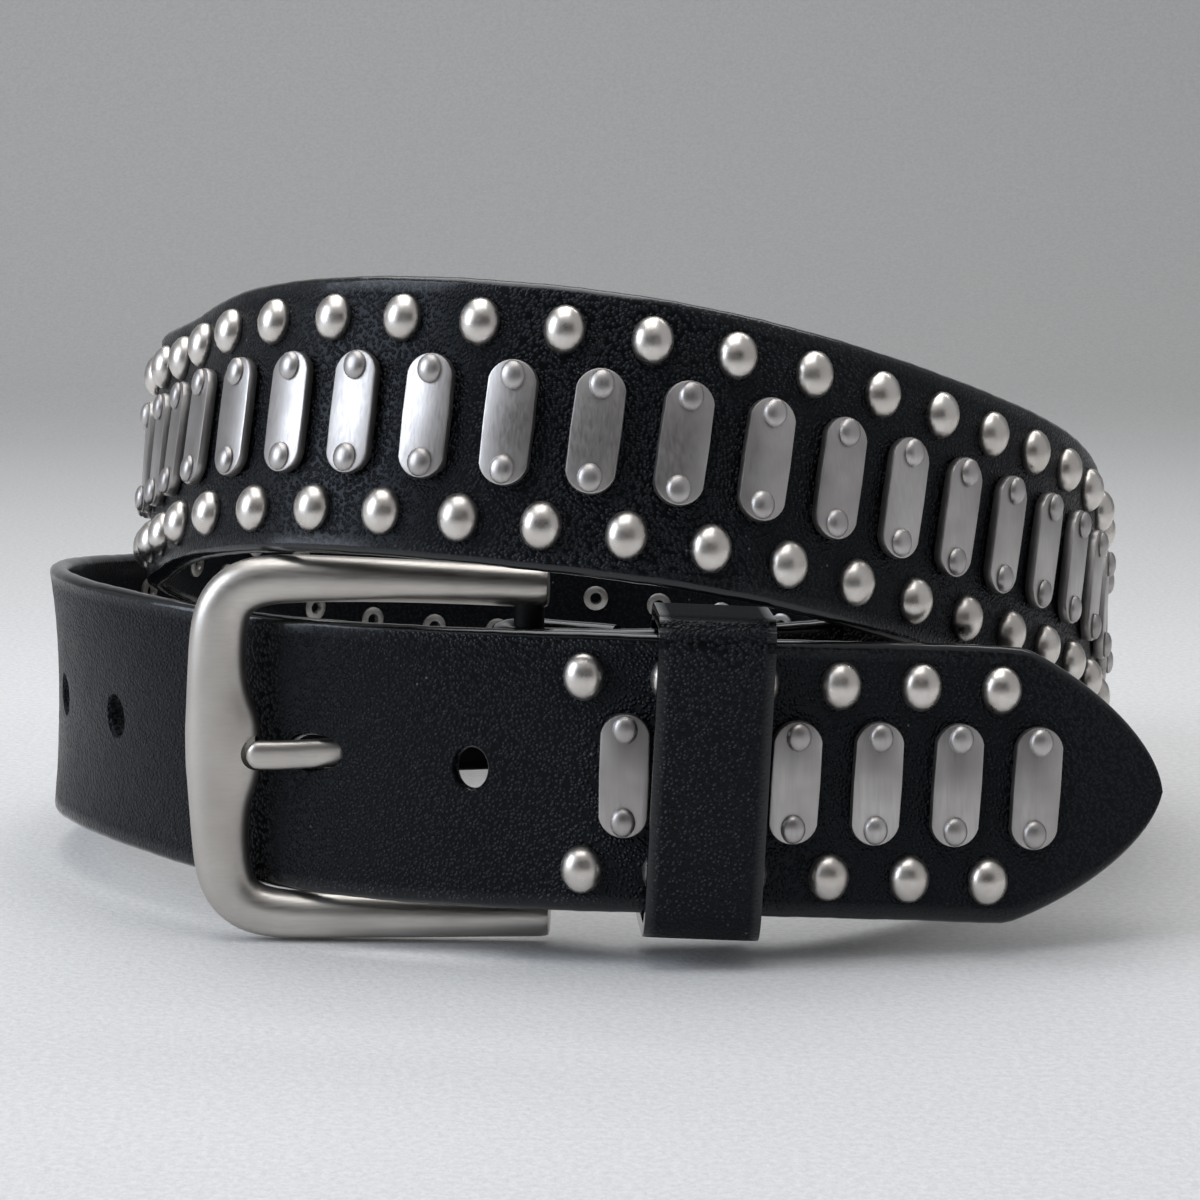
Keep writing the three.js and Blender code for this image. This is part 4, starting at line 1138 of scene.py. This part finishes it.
deselect_all()
bpy.ops.mesh.primitive_grid_add(x_subdivisions=2, y_subdivisions=60, size=1)
floor = named("floor")
spread = mesh_arrays(floor)
FLOOR_FRONT, SWEEP_FROM, SWEEP_RADIUS, WALL_TOP, FLOOR_HALF = -0.9, 0.55, 0.35, 1.2, 1.6
run = (spread[:, 1] + 0.5) * (SWEEP_FROM - FLOOR_FRONT + SWEEP_RADIUS * math.pi / 2 + WALL_TOP)
flat_run = np.minimum(run, SWEEP_FROM - FLOOR_FRONT)
turn = np.clip((run - (SWEEP_FROM - FLOOR_FRONT)) / SWEEP_RADIUS, 0, math.pi / 2)
rise = np.maximum(run - (SWEEP_FROM - FLOOR_FRONT) - SWEEP_RADIUS * math.pi / 2, 0)
sideways = spread[:, 0] * 2 * FLOOR_HALF
back = FLOOR_FRONT + flat_run + SWEEP_RADIUS * np.sin(turn)
up = SWEEP_RADIUS * (1 - np.cos(turn)) + rise
set_places(floor, np.stack([sideways, back, up], axis=-1))
smooth(floor, 60)
# The darker second colour is the backdrop's painted shade.
floor.data.materials.append(cloth("pale grey cloth", (0.8, 0.8, 0.8, 1), (0.38, 0.38, 0.374, 1)))


# %% Dark card behind the camera
CARD_WIDE, CARD_TALL, CARD_FRONT, CARD_HIGH = 1.5, 0.6, -0.85, 0.36
deselect_all()
bpy.ops.mesh.primitive_plane_add(size=1)
card = named("dark card")
card.scale = (CARD_WIDE, CARD_TALL, 1)
card.rotation_euler = (math.pi / 2, 0, 0)
settle(card)
card.location = (0, CARD_FRONT, CARD_HIGH)
settle(card)
card.data.materials.append(cloth("dark cloth", (0.09, 0.085, 0.08, 1), (0.09, 0.085, 0.08, 1)))


# %% Lights
def softbox(name, place, aim, size, power, colour=(1, 1, 1)):
    light = bpy.data.lights.new(name, "AREA")
    light.shape, light.size, light.size_y = "RECTANGLE", size[0], size[1]
    light.energy, light.color = power, colour
    lamp = bpy.data.objects.new(name, light)
    lamp.location = place
    lamp.rotation_euler = (Vector(aim) - Vector(place)).to_track_quat("-Z", "Y").to_euler()
    bpy.context.scene.collection.objects.link(lamp)
    return lamp


softbox("top", (-0.1, 0.0, 1.0), (0, 0, 0), (1.1, 0.8), 5.6)
softbox("left", (-1.0, -0.35, 0.5), (0, 0, 0.05), (0.6, 0.8), 6.5, (0.8, 0.88, 1))
softbox("back", (0.1, 0.5, 0.8), (0, 0.1, 0.05), (1.1, 0.14), 1.6)
world = bpy.data.worlds.new("dim room")
world.use_nodes = True
world.node_tree.nodes["Background"].inputs[0].default_value = (0.96, 0.97, 1, 1)
world.node_tree.nodes["Background"].inputs[1].default_value = 0.42
bpy.context.scene.world = world
bpy.context.scene.view_settings.view_transform = "Standard"

# %% Camera
CAMERA = Vector((2.81 * MM, -580 * MM, 135.66 * MM)) + Vector(coil_middle)
PITCH_DOWN, FOCAL_PX, FRAME_PX, SENSOR = 0.1645, 3626.8, 1200, 36
camera_data = bpy.data.cameras.new("camera")
camera_data.sensor_width = SENSOR
camera_data.lens = FOCAL_PX * SENSOR / FRAME_PX
camera = bpy.data.objects.new("camera", camera_data)
camera.location = CAMERA
camera.rotation_euler = (math.pi / 2 - PITCH_DOWN, 0, 0)
bpy.context.scene.collection.objects.link(camera)
bpy.context.scene.camera = camera
print(f"camera at {tuple(round(c, 4) for c in CAMERA)}, lens {camera_data.lens:.1f} mm")
